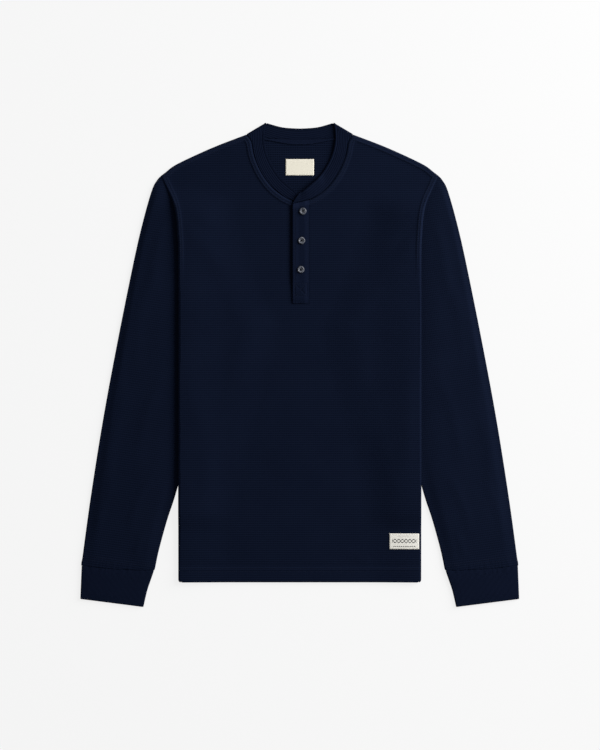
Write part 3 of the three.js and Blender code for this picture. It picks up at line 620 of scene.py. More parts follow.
def flat_tube(plan, height, outer_inset, wall):
    """Rings round a flat tube: along its top, round one edge on a half circle, back below, round the other."""
    first = unit(plan[:, 0] - plan[:, 1])[:, None]
    last = unit(plan[:, -1] - plan[:, -2])[:, None]
    angle = np.linspace(0, np.pi, EDGE_STEPS + 1)[None]

    def ring(inset):
        inset = inset[:, None]

        def edge(place, way, radius, sign):
            out = (radius - inset) * np.sin(angle) - radius
            z = radius + sign * (radius - inset) * np.cos(angle)
            return lift(place[:, None] + way * out[..., None], z)

        return np.concatenate([
            lift(plan[:, 1:-1], height[:, 1:-1] - inset),
            edge(plan[:, -1], last, height[:, -1:] / 2, 1),
            lift(plan[:, -2:0:-1], inset),
            edge(plan[:, 0], first, height[:, :1] / 2, -1)], axis=1)

    return ring(outer_inset), ring(wall)


def tube_places(rings, lean):
    """Cloth coordinates of a tube: its plan turned by the sleeve's lean, with one more column to close it."""
    closed = np.concatenate([rings, rings[:, :1]], axis=1)
    x, y = closed[..., 0], closed[..., 1]
    return np.stack([x * np.cos(lean) + y * np.sin(lean), y * np.cos(lean) - x * np.sin(lean)], axis=-1)


def add_pair(name, outer, inner, lean):
    """The piece for the wearer's left arm, seen on the right, and its mirror image."""
    pair = []
    for side, turn in (("left", False), ("right", True)):
        a, b = (mirror(outer)[:, ::-1], mirror(inner)[:, ::-1]) if turn else (outer, inner)
        places = tube_places(a, -lean if turn else lean)
        pair.append(wall_mesh(f"{name}_{side}_cloth", a, b, places, ring=True))
    return pair


# %% Sleeves
SLEEVE_LEAN = np.radians(8)
CUFF_GATHER = 0.86
PUFF = 2.4
OVERHANG = 1.0
SEAM_LAP = 0.6
SLEEVE_TUCKED = [(188.5, 237), (185.5, 205)]
SWELL_WIDTH = 34


def sleeve_plan():
    """Rows from the armhole to the cuff, columns from the outer to the inner edge."""
    armhole = SIDE_CURVE[SIDE_CURVE[:, 1] >= ARMHOLE_FOOT[1]][::-1]
    shown = beside(armhole, SEAM_LAP)
    hidden = curve(np.vstack([shown[-1:], SLEEVE_TUCKED, SLEEVE_HIDDEN_CAP[1:]]))
    cap = np.where((ACROSS <= CAP_SHARE)[:, None], along(shown, ACROSS / CAP_SHARE),
                   along(hidden, (ACROSS - CAP_SHARE) / (1 - CAP_SHARE)))
    rows = (np.arange(SLEEVE_ROWS + 1) / SLEEVE_ROWS) ** 1.25
    outer, inner = along(curve(SLEEVE_OUTER), rows), along(curve(SLEEVE_INNER), rows)
    outer[:, 0] += OVERHANG * bell(length_of(SLEEVE_OUTER) * (1 - rows), 2, 5)
    outer[0], inner[0] = cap[0], cap[-1]
    seam = mix(outer[-1][None], inner[-1][None], ACROSS[:, None])
    seam[:, 1] -= SEAM_SAG * np.sin(np.pi * ACROSS)
    return patch(cap, seam, outer, inner, ACROSS, rows), rows


def sleeve_height(plan, rows):
    """Flat tube height, fuller in the open, with creases and with small puckers gathered into the cuff."""
    x, y = plan[..., 0], plan[..., 1]
    width = np.linalg.norm(plan[:, 0] - plan[:, -1], axis=1)[:, None]
    from_outer, from_inner = ACROSS[None] * width, (1 - ACROSS[None]) * width
    from_body = x - side_x(y)
    beyond_body = 1 - (1 - np.clip((from_body - 1) / SWELL_WIDTH, 0, 1)) ** 2
    in_open = beyond_body * ramp(from_outer, 1.0, 20) * ramp(from_inner, 1.0, 20)
    gathered = ramp(rows, CUFF_GATHER, 1)[:, None]
    above_cuff = length_of(SLEEVE_OUTER) * (1 - rows)[:, None]
    puckers = 0.32 * np.sin(2 * np.pi * (ACROSS * 17 + 0.35 * np.sin(ACROSS * 23)))[None]
    puckers = puckers * ramp(above_cuff, 17, 3) * (0.6 + 0.4 * np.sin(ACROSS * 31))[None]
    folds = creases(SLEEVE_CREASES, x, y) + puckers
    open_height = PUFF * (1 - 0.6 * gathered) + folds
    return mix(SLEEVE_FLAT, CUFF_FLAT, gathered) + in_open * open_height


def make_sleeves():
    plan, rows = sleeve_plan()
    height = sleeve_height(plan, rows)
    above_cuff = length_of(SLEEVE_OUTER) * (1 - rows)
    inset = 0.5 * ramp(above_cuff, 2.5, 0)
    outer, inner = flat_tube(plan[::-1, ::-1], height[::-1, ::-1], inset[::-1], np.full(len(rows), WALL))
    return add_pair("sleeve", outer, inner, SLEEVE_LEAN), plan, height


(sleeve_left, sleeve_right), sleeve_grid, sleeve_heights = make_sleeves()

# %% [markdown]
# ## The cuffs
# A cuff is a short tube of rib, doubled so that its lower edge is a fold. Both ends of its wall are rounded
# over, which leaves a fine dark line at the seam and a soft turned edge at the wrist.

# %% Cuffs
def make_cuffs():
    """Rings from the seam to the turned edge, each a line between the two edges that loses the seam's sag."""
    shares = ramp(np.linspace(0.0, 1.0, CUFF_ROWS + 1), 0, 1)
    seam = sleeve_grid[-1]
    chord = mix(seam[:1], seam[-1:], ACROSS[:, None])
    sag = (seam - chord)[:, 1]
    a, b = along(curve(CUFF_OUTER), shares), along(curve(CUFF_INNER), shares)
    plan = mix(a[:, None], b[:, None], ACROSS[None, :, None])
    plan[..., 1] += sag[None] * (1 - shares[:, None]) + SEAM_LAP * ramp(shares, 0.1, 0)[:, None]
    down = shares * length_of(CUFF_OUTER)
    up = length_of(CUFF_OUTER) - down
    half = RIB / 2
    over = half * (1 - np.sqrt(1 - (1 - np.clip(up / half, 0, 0.97)) ** 2))
    under_seam = 0.6 * ramp(down, 1.6, 0)
    bulge = 0.35 * ramp(down, 0, 9) * ramp(up, 0, 12)
    width = np.linalg.norm(a - b, axis=1)[:, None]
    open_part = ramp(ACROSS[None] * width, 2, 14) * ramp((1 - ACROSS[None]) * width, 2, 14)
    waves = np.sin(2 * np.pi * (ACROSS * 13 + 0.4 * np.sin(ACROSS * 17)))
    ripple = 0.22 * waves[None] * ramp(down, 14, 2)[:, None]
    height = CUFF_FLAT + open_part * (bulge[:, None] + ripple)
    outer, inner = flat_tube(plan[::-1, ::-1], height[::-1, ::-1], (over + under_seam)[::-1],
                             (RIB - over)[::-1])
    return add_pair("cuff", outer, inner, SLEEVE_LEAN)


cuff_left, cuff_right = make_cuffs()

# %% [markdown]
# ## The neckband
# The band is one strip of doubled rib. It starts at the buttons under the other end, runs round the right side
# of the neck, folds over at the neck point, crosses the back, and comes round to the buttonhole side. Stations
# along it give a seam point, a free point and a height, and its thickness is laid off along the normal.

# %% Neckband
OVERLAP_RISE = 2.4
FREE_RISE = 3.1
FOLD_PRESS = 0.5
BAND_FOLD = 2.6
BAND_FOLD_STEPS = 16
BAND_FRONT_STEPS = 56
BAND_BACK_STEPS = 30
BAND_END_STEPS = 12


def band_front(middle_x, rise):
    """Seam points, free points and heights from the middle to just before the neck point."""
    neck = curve(FRONT_NECK)
    first = np.interp(middle_x, neck[:, 0], shares_of(neck))
    steps = np.linspace(0, 1 - 4.0 / length_of(neck), BAND_FRONT_STEPS)
    seam = along(beside(neck, -GAP), mix(first, 1, steps))
    free = along(curve(BAND_FRONT_EDGE), steps)
    z = front_top(seam[:, 0], seam[:, 1]) - WALL / 2 + rise * ramp(seam[:, 0], 56, 12)
    return seam, free, z


def band_fold(before, behind):
    """Round the neck point: the strip turns over on a half circle, seen from its end."""
    corner, free = FRONT_NECK[-1] + np.array([-0.2, GAP]), BAND_FRONT_EDGE[-1]
    way = unit(free - corner)
    outwards = np.array([way[1], -way[0]])
    back_corner = SHOULDER[0] + np.array([0, 2 * GAP])

    def way_in(start, end):
        step = unit(end - start)
        return step / -(step @ outwards)

    angle = np.linspace(0, np.pi, BAND_FOLD_STEPS + 1)
    radius = BAND_FOLD - RIB / 2
    inset = (BAND_FOLD - radius * np.sin(angle))[:, None]
    in_front = (angle < np.pi / 2)[:, None]
    seam = np.where(in_front, corner + way_in(corner, before) * inset,
                    back_corner + way_in(back_corner, behind) * inset)
    return seam, free - outwards * inset, BAND_FOLD + radius * np.cos(angle)


def band_back():
    """From just past the neck point to the middle of the back."""
    neck, edge = curve(BACK_NECK), curve(BAND_BACK_EDGE)
    steps = np.linspace(1 - 4.0 / length_of(neck), 0, BAND_BACK_STEPS)
    seam = along(beside(neck, SEAM_LAP), steps)
    return seam, along(edge, steps), np.full(BAND_BACK_STEPS, RIB / 2)


def band_end(table, z):
    """A lapped end of the band: rows of seam x, seam y, free x and free y."""
    line = curve(table, BAND_END_STEPS + 1)
    return line[:, :2], line[:, 2:], np.full(len(line), z)


def joined(parts):
    return [np.concatenate([part[k] for part in parts]) for k in range(3)]


def cut_ends(part, start=0, stop=None):
    return [values[start:stop] for values in part]


def turned(part):
    """A part of the band mirrored and run the other way."""
    seam, free, z = part
    return mirror(seam)[::-1], mirror(free)[::-1], z[::-1]


def band_stations():
    right, left = band_front(PLACKET_RIGHT, OVERLAP_RISE), band_front(-PLACKET_LEFT + GAP, 0)
    back_half = band_back()
    fold_right = band_fold(right[0][-1], back_half[0][0])
    fold_left = band_fold(left[0][-1], back_half[0][0])
    level = front_top(0, 262) - WALL / 2
    upper = band_end([(PLACKET_LEFT, 258.0, -2, 273.6), (3, 261.4, 3.5, 277.4), (*right[0][0], *right[1][0])],
                     level + OVERLAP_RISE)
    lower = band_end([(-left[0][0][0], left[0][0][1], -left[1][0][0], left[1][0][1]), (0, 261.6, 0, 272.4),
                      (12, 261.8, 12, 273)], level)
    return joined([cut_ends(upper, 0, -1), right, fold_right, back_half, cut_ends(turned(back_half), 1),
                   turned(fold_left), turned(left), cut_ends(lower, 1)])


def band_thickness(from_free, from_seam):
    """Half thickness with a quarter round at each edge, and the plump free edge that its upper face shows."""
    def edge(distance, size):
        return np.sqrt(1 - (1 - np.clip(distance / size, 0, 1)) ** 2)
    body = RIB / 2 * (0.12 + 0.88 * edge(from_free, 1.1)) * (0.15 + 0.85 * edge(from_seam, 2.6))
    return body, 0.45 * bell(from_free, 1.9, 1.3) - 0.25 * bell(from_free, 4.2, 0.8)


BAND_SPREAD = np.concatenate([[0, 0.006, 0.02, 0.05, 0.085, 0.125, 0.165, 0.21, 0.26, 0.31, 0.38],
                              np.linspace(0.46, 0.86, 6), [0.91, 0.945, 0.97, 0.99, 1.0]])


def free_rise(seam, z):
    """How far the free edge stands up: most near the button, less up the sides, pressed down at the fold."""
    x, y = abs(seam[:, 0]), seam[:, 1]
    in_front = ramp(z, 3.4, 4.1)
    rise = FREE_RISE * ramp(y, 340, 270) - FOLD_PRESS * ramp(y, 335, 362)
    return in_front * rise * mix(0.5, 1, ramp(x, 0, 14))


def make_neckband():
    seam, free, z = band_stations()
    plan = mix(free[:, None], seam[:, None], BAND_SPREAD[None, :, None])
    middle = lift(plan, z[:, None] + free_rise(seam, z)[:, None] * (1 - BAND_SPREAD[None]) ** 1.5)
    width = np.linalg.norm(seam - free, axis=1)[:, None]
    body, plump = band_thickness(BAND_SPREAD[None] * width, (1 - BAND_SPREAD[None]) * width)
    run = np.gradient(middle, axis=0)
    across = middle[:, -1:] - middle[:, :1]
    normal = unit(np.cross(np.broadcast_to(across, run.shape), run))
    length = np.concatenate([[0], np.cumsum(np.linalg.norm(np.diff(middle[:, 8], axis=0), axis=1))])
    places = np.stack(np.broadcast_arrays(BAND_SPREAD[None] * width, length[:, None]), axis=-1)
    faces_up = ramp(normal[..., 2], -0.4, 0.4)
    outer = middle + normal * (body + plump * faces_up)[..., None]
    inner = middle - normal * (body + plump * (1 - faces_up))[..., None]
    # Painted shade: the band's colour is darkened within 1.5 mm of its free edge and of its sewn edge.
    from_edge = np.minimum(BAND_SPREAD[None] * width, (1 - BAND_SPREAD[None]) * width)
    piece = wall_mesh("neckband_cloth", outer, inner, places, seam=-1.2 * ramp(from_edge, 1.5, 0.5))
    print(f"band {length[-1]:.0f} mm long and {width.mean():.1f} mm wide on average")
    return piece


neckband = make_neckband()

# %% [markdown]
# ## The placket
# The placket is a folded strip with buttonholes, over a plain strip with buttons. The upper strip has a rolled
# left edge, a groove where the row of stitches pulls it in, and the neck's seam band running on across its top.

# %% Placket
PLACKET_LEVEL = float(front_top(np.array(0.0), np.array(PLACKET_FOOT)))
UPPER_BASE = PLACKET_LEVEL + GAP
PLACKET_TOP = np.array([(PLACKET_LEFT, 258.0), (3, 261.4), (16.1, 264.7)])
PLACKET_COLUMNS = np.concatenate([[0, 0.1, 0.3, 0.7, 1.2, 1.8, 2.4], np.linspace(3.0, 25.2, 38),
                                  [25.8, 26.5, 27, 27.3, 27.5, 27.6]])
PLACKET_ROWS = 190
BOX = {"left": -8.4, "right": 11.4, "low": 110.4, "high": 130.6}


def box_lines():
    """The four sides of the stitched box at the placket's foot, and the cross in it."""
    a, b, c, d = ((BOX[side], BOX[level]) for side, level in (("left", "low"), ("right", "low"),
                                                                ("right", "high"), ("left", "high")))
    return [np.array(pair) for pair in ((a, b), (b, c), (c, d), (d, a), (a, c), (b, d))]


def pressed(x, y, line, width=0.9):
    """1 on a stitched line, fading out beside it as a bell of the distance to it."""
    way = line[1] - line[0]
    t = np.clip(((x - line[0, 0]) * way[0] + (y - line[0, 1]) * way[1]) / (way @ way), 0, 1)
    return bell(np.hypot(x - line[0, 0] - t * way[0], y - line[0, 1] - t * way[1]), 0, width)


def upper_top(x):
    return np.interp(x, PLACKET_TOP[:, 0], PLACKET_TOP[:, 1]) - 2 * GAP


def placket_surface(x, y):
    """Height of the strip: its thickness, a left edge that stands up above the box, stitch grooves, and the
    seam band at the top. The right edge and the foot are sewn down flat."""
    left, right = x - PLACKET_LEFT, PLACKET_RIGHT - GAP - x
    top = upper_top(x) - y
    stands = mix(0.25, 1.4, ramp(y, 112, 150)) * ramp(left, 12, 1.2)
    roll = stands - 0.25 * bell(left, 4.2, 0.8)
    flat = 1.4 * ramp(right, 9, 0.5) + 0.9 * ramp(y, PLACKET_FOOT + 8, PLACKET_FOOT)
    grooves = 0.4 * np.max([pressed(x, y, line) for line in box_lines()], axis=0)
    band = 0.45 * ramp(top, 9.0, 6.0) * ramp(top, 0, 1.8)
    return UPPER_BASE + PLACKET + roll - np.minimum(flat, 1.4) - grooves + band


def make_strip(name, top_of, base, surface, columns, rows, thread_and_painted_light=None):
    """A strip over a grid of plan points, with its edges rounded over."""
    x = (PLACKET_LEFT + columns)[None]
    up = ramp(np.linspace(0, 1, rows + 1), 0, 1)[:, None] * 0.25 + np.linspace(0, 1, rows + 1)[:, None] * 0.75
    y = mix(PLACKET_FOOT, top_of(x), up)
    x = np.broadcast_to(x, y.shape)
    inside = np.minimum(np.minimum(x - PLACKET_LEFT, PLACKET_RIGHT - GAP - x), y - PLACKET_FOOT)
    drop = 0.9 * (1 - np.sqrt(1 - (1 - np.clip(inside / 1.0, 0, 1)) ** 2))
    plan = np.stack([x, y], axis=-1)
    seam = None if thread_and_painted_light is None else thread_and_painted_light(x, y)
    top = np.maximum(surface(x, y) - drop, base + 0.3)
    return wall_mesh(name, lift(plan, top), lift(plan, np.full(y.shape, base)), plan, seam=seam)


# The band across the placket's top is paler too: partly its thread, partly a painted highlight.
placket_upper = make_strip("placket_upper_cloth", upper_top, UPPER_BASE, placket_surface, PLACKET_COLUMNS,
                           PLACKET_ROWS, lambda x, y: 1.5 * ramp(upper_top(x) - y, 9.0, 6.5))
placket_under = make_strip("placket_under_cloth", lambda x: np.full_like(x, 260.8), PLACKET_LEVEL - WALL,
                           lambda x, y: np.full_like(x, PLACKET_LEVEL), PLACKET_COLUMNS[::3], 24)

# %% [markdown]
# ## Tape and labels
# A narrow tape covers the back neck seam inside: widest in the middle and tapering out to the sides. The label
# at the back of the neck lies on the back panel, and a second one is sewn on near the hem. Each is a sheet laid
# on the panel below it, 0.3 mm clear, with corners that lift a little.

# %% Tape and labels
NECK_LABEL = {"left": -22.6, "right": 22.7, "low": 303.6, "high": 329.6}
HEM_LABEL = {"left": 143.4, "right": 190.6, "low": -294.4, "high": -269.4}


def laid_sheet(name, plan, bottom, thickness, places):
    """A sheet of even thickness over a surface; its outermost points are drawn in, to round its edges."""
    rows, columns = plan.shape[:2]
    inner = np.zeros((rows, columns), bool)
    inner[1:-1, 1:-1] = True
    drawn = thickness * np.where(inner, 1.0, 0.3)
    return wall_mesh(name, lift(plan, bottom + drawn), lift(plan, bottom), places)


def fine_ends(count, end):
    """Even steps from 0 to 1 with one small step at each end."""
    return np.concatenate([[0], np.linspace(end, 1 - end, count), [1]])


def make_tape():
    """Strip below the back neckline, 8 mm wide in the middle and 2 mm at its ends."""
    neck = curve(np.vstack([mirror(BACK_NECK)[:0:-1], BACK_NECK]))
    reach = np.interp([-72, 72], neck[:, 0], shares_of(neck))
    line = along(beside(neck, 1), np.linspace(*reach, 81))
    width = 2.0 + 6.0 * ramp(abs(line[:, 0]), 66, 6)
    lower = np.stack([line[:, 0], line[:, 1] - width], axis=1)
    share = fine_ends(9, 0.06)
    plan = mix(lower[None], line[None], share[:, None, None])
    across = np.broadcast_to(share[:, None] * width[None], plan.shape[:2])
    places = np.stack([plan[..., 0], across], axis=-1)
    edge = 0.35 * bell(across, 1.2, 0.8)
    return laid_sheet("neck_tape_cloth", plan, WALL + GAP, TAPE + edge, places)


def make_label(name, sizes, surface, columns, rows, curl):
    """A rectangle laid on a surface, with its corners raised by the fourth power of the distance out."""
    across, up = fine_ends(columns, 0.008), fine_ends(rows, 0.015)
    x, y = np.meshgrid(mix(sizes["left"], sizes["right"], across), mix(sizes["low"], sizes["high"], up))
    far = (abs(2 * across - 1) ** 4)[None] * (abs(2 * up - 1) ** 4)[:, None]
    middle = np.array([(sizes["left"] + sizes["right"]) / 2, (sizes["low"] + sizes["high"]) / 2])
    plan = np.stack([x, y], axis=-1)
    return laid_sheet(name, plan, surface(x, y) + GAP + curl * far, LABEL, plan - middle)


neck_tape = make_tape()
neck_label = make_label("neck_label_cloth", NECK_LABEL, lambda x, y: np.full_like(x, WALL), 30, 18, 0.25)
hem_label = make_label("hem_label_cloth", HEM_LABEL, front_surface, 32, 18, 0.0)

# %% [markdown]
# ## Stitches
# Thread shows as short raised dashes, so each stitch is a small closed sleeve of thread, bowed up in the middle
# with its ends sunk into the cloth. All the stitches of a seam are made at once as one array and one mesh.

# %% Stitches
STITCH_SIDES = 6
STITCH_T = np.array([0.0, 0.14, 0.5, 0.86, 1.0])
STITCH_LIFT = np.array([-1.0, -0.25, 0.2, -0.25, -1.0])
STITCH_GIRTH = np.array([0.4, 0.85, 1.0, 0.85, 0.4])


def stitch_ends(line, pitch, length):
    """Start and end points of even stitches along a line of points."""
    total = length_of(line)
    count = max(int(total // pitch), 1)
    start = (np.arange(count) + 0.5) * total / count - length / 2
    return along(line, start / total), along(line, (start + length) / total)


def sew(name, lines, pitch=3.0, length=2.2, radius=0.24):
    """Place = start + way t + up lift + side cos a girth + up sin a girth, for all stitches, rings and sides."""
    ends = [stitch_ends(line, pitch, length) for line in lines]
    a = np.concatenate([pair[0] for pair in ends])[:, None, None]
    b = np.concatenate([pair[1] for pair in ends])[:, None, None]
    up = np.array([0.0, 0.0, 1.0])
    side = unit(np.cross(b - a, up))
    angle = (2 * np.pi * np.arange(STITCH_SIDES) / STITCH_SIDES)[None, None, :, None]
    t, rise, girth = (row[None, :, None, None] for row in (STITCH_T, STITCH_LIFT, STITCH_GIRTH))
    points = mix(a, b, t) + radius * (up * (rise + np.sin(angle) * girth) + side * np.cos(angle) * girth)
    count = len(a)
    rings, sides = len(STITCH_T), STITCH_SIDES
    ring, turn = np.meshgrid(np.arange(rings - 1), np.arange(sides), indexing="ij")
    nearby = (turn + 1) % sides
    tube = np.stack([ring * sides + turn, ring * sides + nearby, (ring + 1) * sides + nearby,
                     (ring + 1) * sides + turn], axis=-1).reshape(-1, 4)
    end = (rings - 1) * sides
    caps = np.array([(3, 2, 1, 0), (5, 4, 3, 0), (end, end + 1, end + 2, end + 3),
                     (end, end + 3, end + 4, end + 5)])
    one = np.concatenate([tube, caps])[:, ::-1]
    faces = (one[None] + np.arange(count)[:, None, None] * rings * sides).reshape(-1, 4)
    return quad_mesh(name, points.reshape(-1, 3), faces)


def on_front(plan, relief):
    """A line on the front's outer face, raised by its seam's relief."""
    return lift(plan, front_surface(plan[:, 0], plan[:, 1]) + relief)


def both_sides(lines):
    return lines + [mirror(line) for line in lines]


def neckline_rows():
    """Rows beside the neckline and the shoulder on each half, at the seam's two ridges."""
    rows = []
    for distance in (ROW_NEAR, ROW_FAR):
        relief = float(seam_relief(distance))
        for middle_x, flip in ((PLACKET_RIGHT + 0.5, False), (-PLACKET_LEFT + 0.5, True)):
            line = top_line(FRONT_NECK, middle_x, distance, ROW_NEAR, 60, 60)
            neck, shoulder = line[:61], line[60:]
            shoulder_drop = (body_height(*shoulder.T) - SHOULDER_FLAT) * ramp(distance, SEAM_BAND, 0)
            pair = [on_front(neck, relief), on_front(shoulder, relief - shoulder_drop)]
            rows += [mirror(row) for row in pair] if flip else pair
    return rows


def armhole_rows():
    """Rows beside the armhole, down its side until the band fades into the side fold."""
    side = side_line(170, ARMHOLE_FOOT[1], shoulder_corner(0, ROW_NEAR), 40, 30)
    rows = []
    for distance in (3.9, ROW_FAR):
        line = beside(side, -distance)
        rows.append(on_front(line, seam_relief(distance) * ramp(line[:, 1], *BAND_FADE)))
    return both_sides(rows)


def hem_rows():
    """Two rows along the hem, from fold to fold."""
    x = np.linspace(3.5 - HALF_WIDTH, HALF_WIDTH - 3.5, 400)
    rows = []
    for up in (HEM_BAND - 0.6, HEM_BAND - 5.6):
        line = np.stack([x, np.full_like(x, HEM_Y + up)], axis=1)
        rows.append(on_front(line, float(hem_relief(up))))
    return rows


def cuff_rows():
    """Two rows on the sleeve above each cuff seam."""
    rows = []
    for back_by in (2, 3):
        line = lift(sleeve_grid[-1 - back_by], sleeve_heights[-1 - back_by])
        rows.append(line[2:-2])
    return both_sides(rows)


def box_and_cross():
    """The box with a cross in it at the placket's foot, the rows up both edges and the row across the top."""
    left, right = BOX["left"] + 0.8, BOX["right"] + 1.2
    paths = box_lines() + [np.array([(left, BOX["high"]), (left, 250.0)]),
                           np.array([(right, BOX["high"]), (right, 252.0)]),
                           np.array([(PLACKET_LEFT + 1.4, 252.6), (PLACKET_RIGHT - 1.6, 256.4)])]
    fine = [along(path, np.linspace(0, 1, 40)) for path in paths]
    return [lift(path, placket_surface(path[:, 0], path[:, 1])) for path in fine]


def buttonhole_bars():
    """Close bars across both sides of each buttonhole, which runs up and down behind its button."""
    bars = []
    for x, y in BUTTONS:
        for side in (-1, 1):
            line = np.array([(x + side * 1.1, y - 7.8), (x + side * 1.1, y + 7.8)])
            fine = along(line, np.linspace(0, 1, 20))
            bars.append(lift(fine, placket_surface(fine[:, 0], fine[:, 1]) + 0.05))
    return bars


def label_rows(sizes, surface, inset):
    """Rows of stitches just inside a label's four edges."""
    left, right = sizes["left"] + inset, sizes["right"] - inset
    low, high = sizes["low"] + inset, sizes["high"] - inset
    corners = np.array([(left, low), (right, low), (right, high), (left, high), (left, low)], float)
    fine = [along(corners[k:k + 2], np.linspace(0, 1, 20)) for k in range(4)]
    return [lift(line, surface(line[:, 0], line[:, 1]) + GAP + LABEL) for line in fine]


front_stitches = sew("front_stitches", neckline_rows() + armhole_rows() + hem_rows())
cuff_stitches = sew("cuff_stitches", cuff_rows())
placket_stitches = sew("placket_stitches", box_and_cross(), pitch=2.6, length=1.9)
buttonhole_stitches = sew("buttonhole_stitches", buttonhole_bars(), pitch=0.62, length=0.6, radius=0.34)
hem_label_stitches = sew("hem_label_stitches", label_rows(HEM_LABEL, front_surface, 1.2), 2.4, 1.7, 0.2)
neck_label_stitches = sew("neck_label_stitches",
                          label_rows(NECK_LABEL, lambda x, y: np.full_like(x, WALL), 1.2)[1::2], 2.4, 1.7, 0.2)

# %% [markdown]
# ## Buttons
# A four-hole shirt button is a turned disc with a raised rim. On a polar grid its top is one function of radius
# and angle: the profile of the rim, less four round pits for the holes. Thread crosses the holes in an X.

# %% Buttons
HOLE_RADIUS = 0.85
HOLE_SPACING = 1.45
BUTTON_BASE = UPPER_BASE + PLACKET + GAP


def button_rings():
    """Radius and height of the turned profile, from the middle of the top, over the rim, to the underside."""
    top = np.linspace(0.02, BUTTON_RADIUS - 2.3, 26)
    rim = curve([(3.35, 1.55), (3.8, 2.05), (4.2, 2.4), (4.6, 2.35), (5.1, 1.8), (5.55, 1.1), (5.4, 0.6),
                 (4.6, 0.15), (3.2, 0.0), (0.02, 0.0)], 40)
    flat = np.stack([top, 1.15 + 0.4 * (top / 3.35) ** 2], axis=1)
    return np.concatenate([flat, rim[1:]])


def button_points(x0, y0):
    """Profile turned round, with the pits as smooth steps of the distance from each hole's middle."""
    profile = button_rings()
    angle = np.linspace(0, 2 * np.pi, 97)[:-1]
    x = profile[:, :1] * np.cos(angle)[None]
    y = profile[:, :1] * np.sin(angle)[None]
    z = np.broadcast_to(profile[:, 1:], x.shape).copy()
    spread = HOLE_SPACING / np.sqrt(2)
    holes = [(sx * spread, sy * spread) for sx in (-1, 1) for sy in (-1, 1)]
    nearest = np.min([np.hypot(x - hx, y - hy) for hx, hy in holes], axis=0)
    top_side = np.arange(len(profile))[:, None] < 27
    z -= 1.25 * np.where(top_side, ramp(nearest, HOLE_RADIUS + 0.08, HOLE_RADIUS - 0.12), 0)
    return np.stack([x + x0, y + y0, z + BUTTON_BASE], axis=-1)


def make_button(number, x0, y0):
    points = button_points(x0, y0)
    rings, sides = points.shape[:2]
    ring, turn = np.meshgrid(np.arange(rings - 1), np.arange(sides), indexing="ij")
    nearby = (turn + 1) % sides
    faces = np.stack([ring * sides + turn, (ring + 1) * sides + turn, (ring + 1) * sides + nearby,
                      ring * sides + nearby], axis=-1).reshape(-1, 4)
    k = np.arange(1, sides - 2, 2)
    top_cap = np.stack([np.zeros_like(k), k, k + 1, k + 2], axis=-1)
    end = (rings - 1) * sides
    caps = np.concatenate([top_cap, top_cap[:, ::-1] + end])
    return quad_mesh(f"button_{number}_disc", points.reshape(-1, 3), np.concatenate([faces, caps]))


def thread_cross(x0, y0):
    """Two lines across the holes, a little above the button's face."""
    reach = HOLE_SPACING / np.sqrt(2)
    z = BUTTON_BASE + 1.28
    return [np.array([(x0 - reach, y0 - s * reach, z), (x0 + reach, y0 + s * reach, z)]) for s in (-1, 1)]


buttons = [make_button(k + 1, x, y) for k, (x, y) in enumerate(BUTTONS)]
button_threads = sew("button_threads", [line for x, y in BUTTONS for line in thread_cross(x, y)],
                     pitch=3.0, length=2.9, radius=0.6)

# %% [markdown]
# ## Shader helpers
# The same knit is on four pieces and the same rib on three, so each is a node group that turns the cloth's own
# coordinates into a height and a shade. The Principled shader stays in each material, with its plain numbers.

# %% Shader helpers
def add_node(tree, kind, inputs=None, **settings):
    """A node with its settings, and its inputs set to numbers or linked from sockets."""
    made = tree.nodes.new(kind)
    for key, value in settings.items():
        setattr(made, key, value)
    for key, value in (inputs or {}).items():
        if isinstance(value, bpy.types.NodeSocket):
            tree.links.new(value, made.inputs[key])
        else:
            made.inputs[key].default_value = value
    return made


def calculate(tree, operation, *values):
    """One Math node; values are numbers or sockets."""
    made = add_node(tree, "ShaderNodeMath", dict(enumerate(values)), operation=operation)
    return made.outputs[0]


def new_group(name, inputs, outputs):
    """A node group with named inputs and outputs, and its two end nodes."""
    group = bpy.data.node_groups.new(name, "ShaderNodeTree")
    for label, kind, value in inputs:
        socket = group.interface.new_socket(label, in_out="INPUT", socket_type=kind)
        if value is not None:
            socket.default_value = value
    for label, kind in outputs:
        group.interface.new_socket(label, in_out="OUTPUT", socket_type=kind)
    return group, group.nodes.new("NodeGroupInput"), group.nodes.new("NodeGroupOutput")


def wave(tree, value, period, power=2.0):
    """Cosine of pi times value over period, squared or sharper: 1 on each ridge, 0 between."""
    turns = calculate(tree, "DIVIDE", value, period)
    cosine = calculate(tree, "COSINE", calculate(tree, "MULTIPLY", turns, np.pi))
    return calculate(tree, "POWER", calculate(tree, "ABSOLUTE", cosine), power)


# %% [markdown]
# ## Knit, rib and twill
# A waffle knit has raised bars along the rows and, lower, along the columns, round small sunk squares. A rib has
# one ridge to each wale. A twill tape has slanting lines. Real yarn is never in perfect line, so a little noise
# bends each pattern, and a finer noise stands for the hairs of the yarn.

# %% Cloth patterns
def cloth_noise(tree, start, scale, detail):
    """A noise on the cloth's coordinates."""
    place = start.outputs["Cloth"]
    return add_node(tree, "ShaderNodeTexNoise", {"Vector": place, "Scale": scale, "Detail": detail})


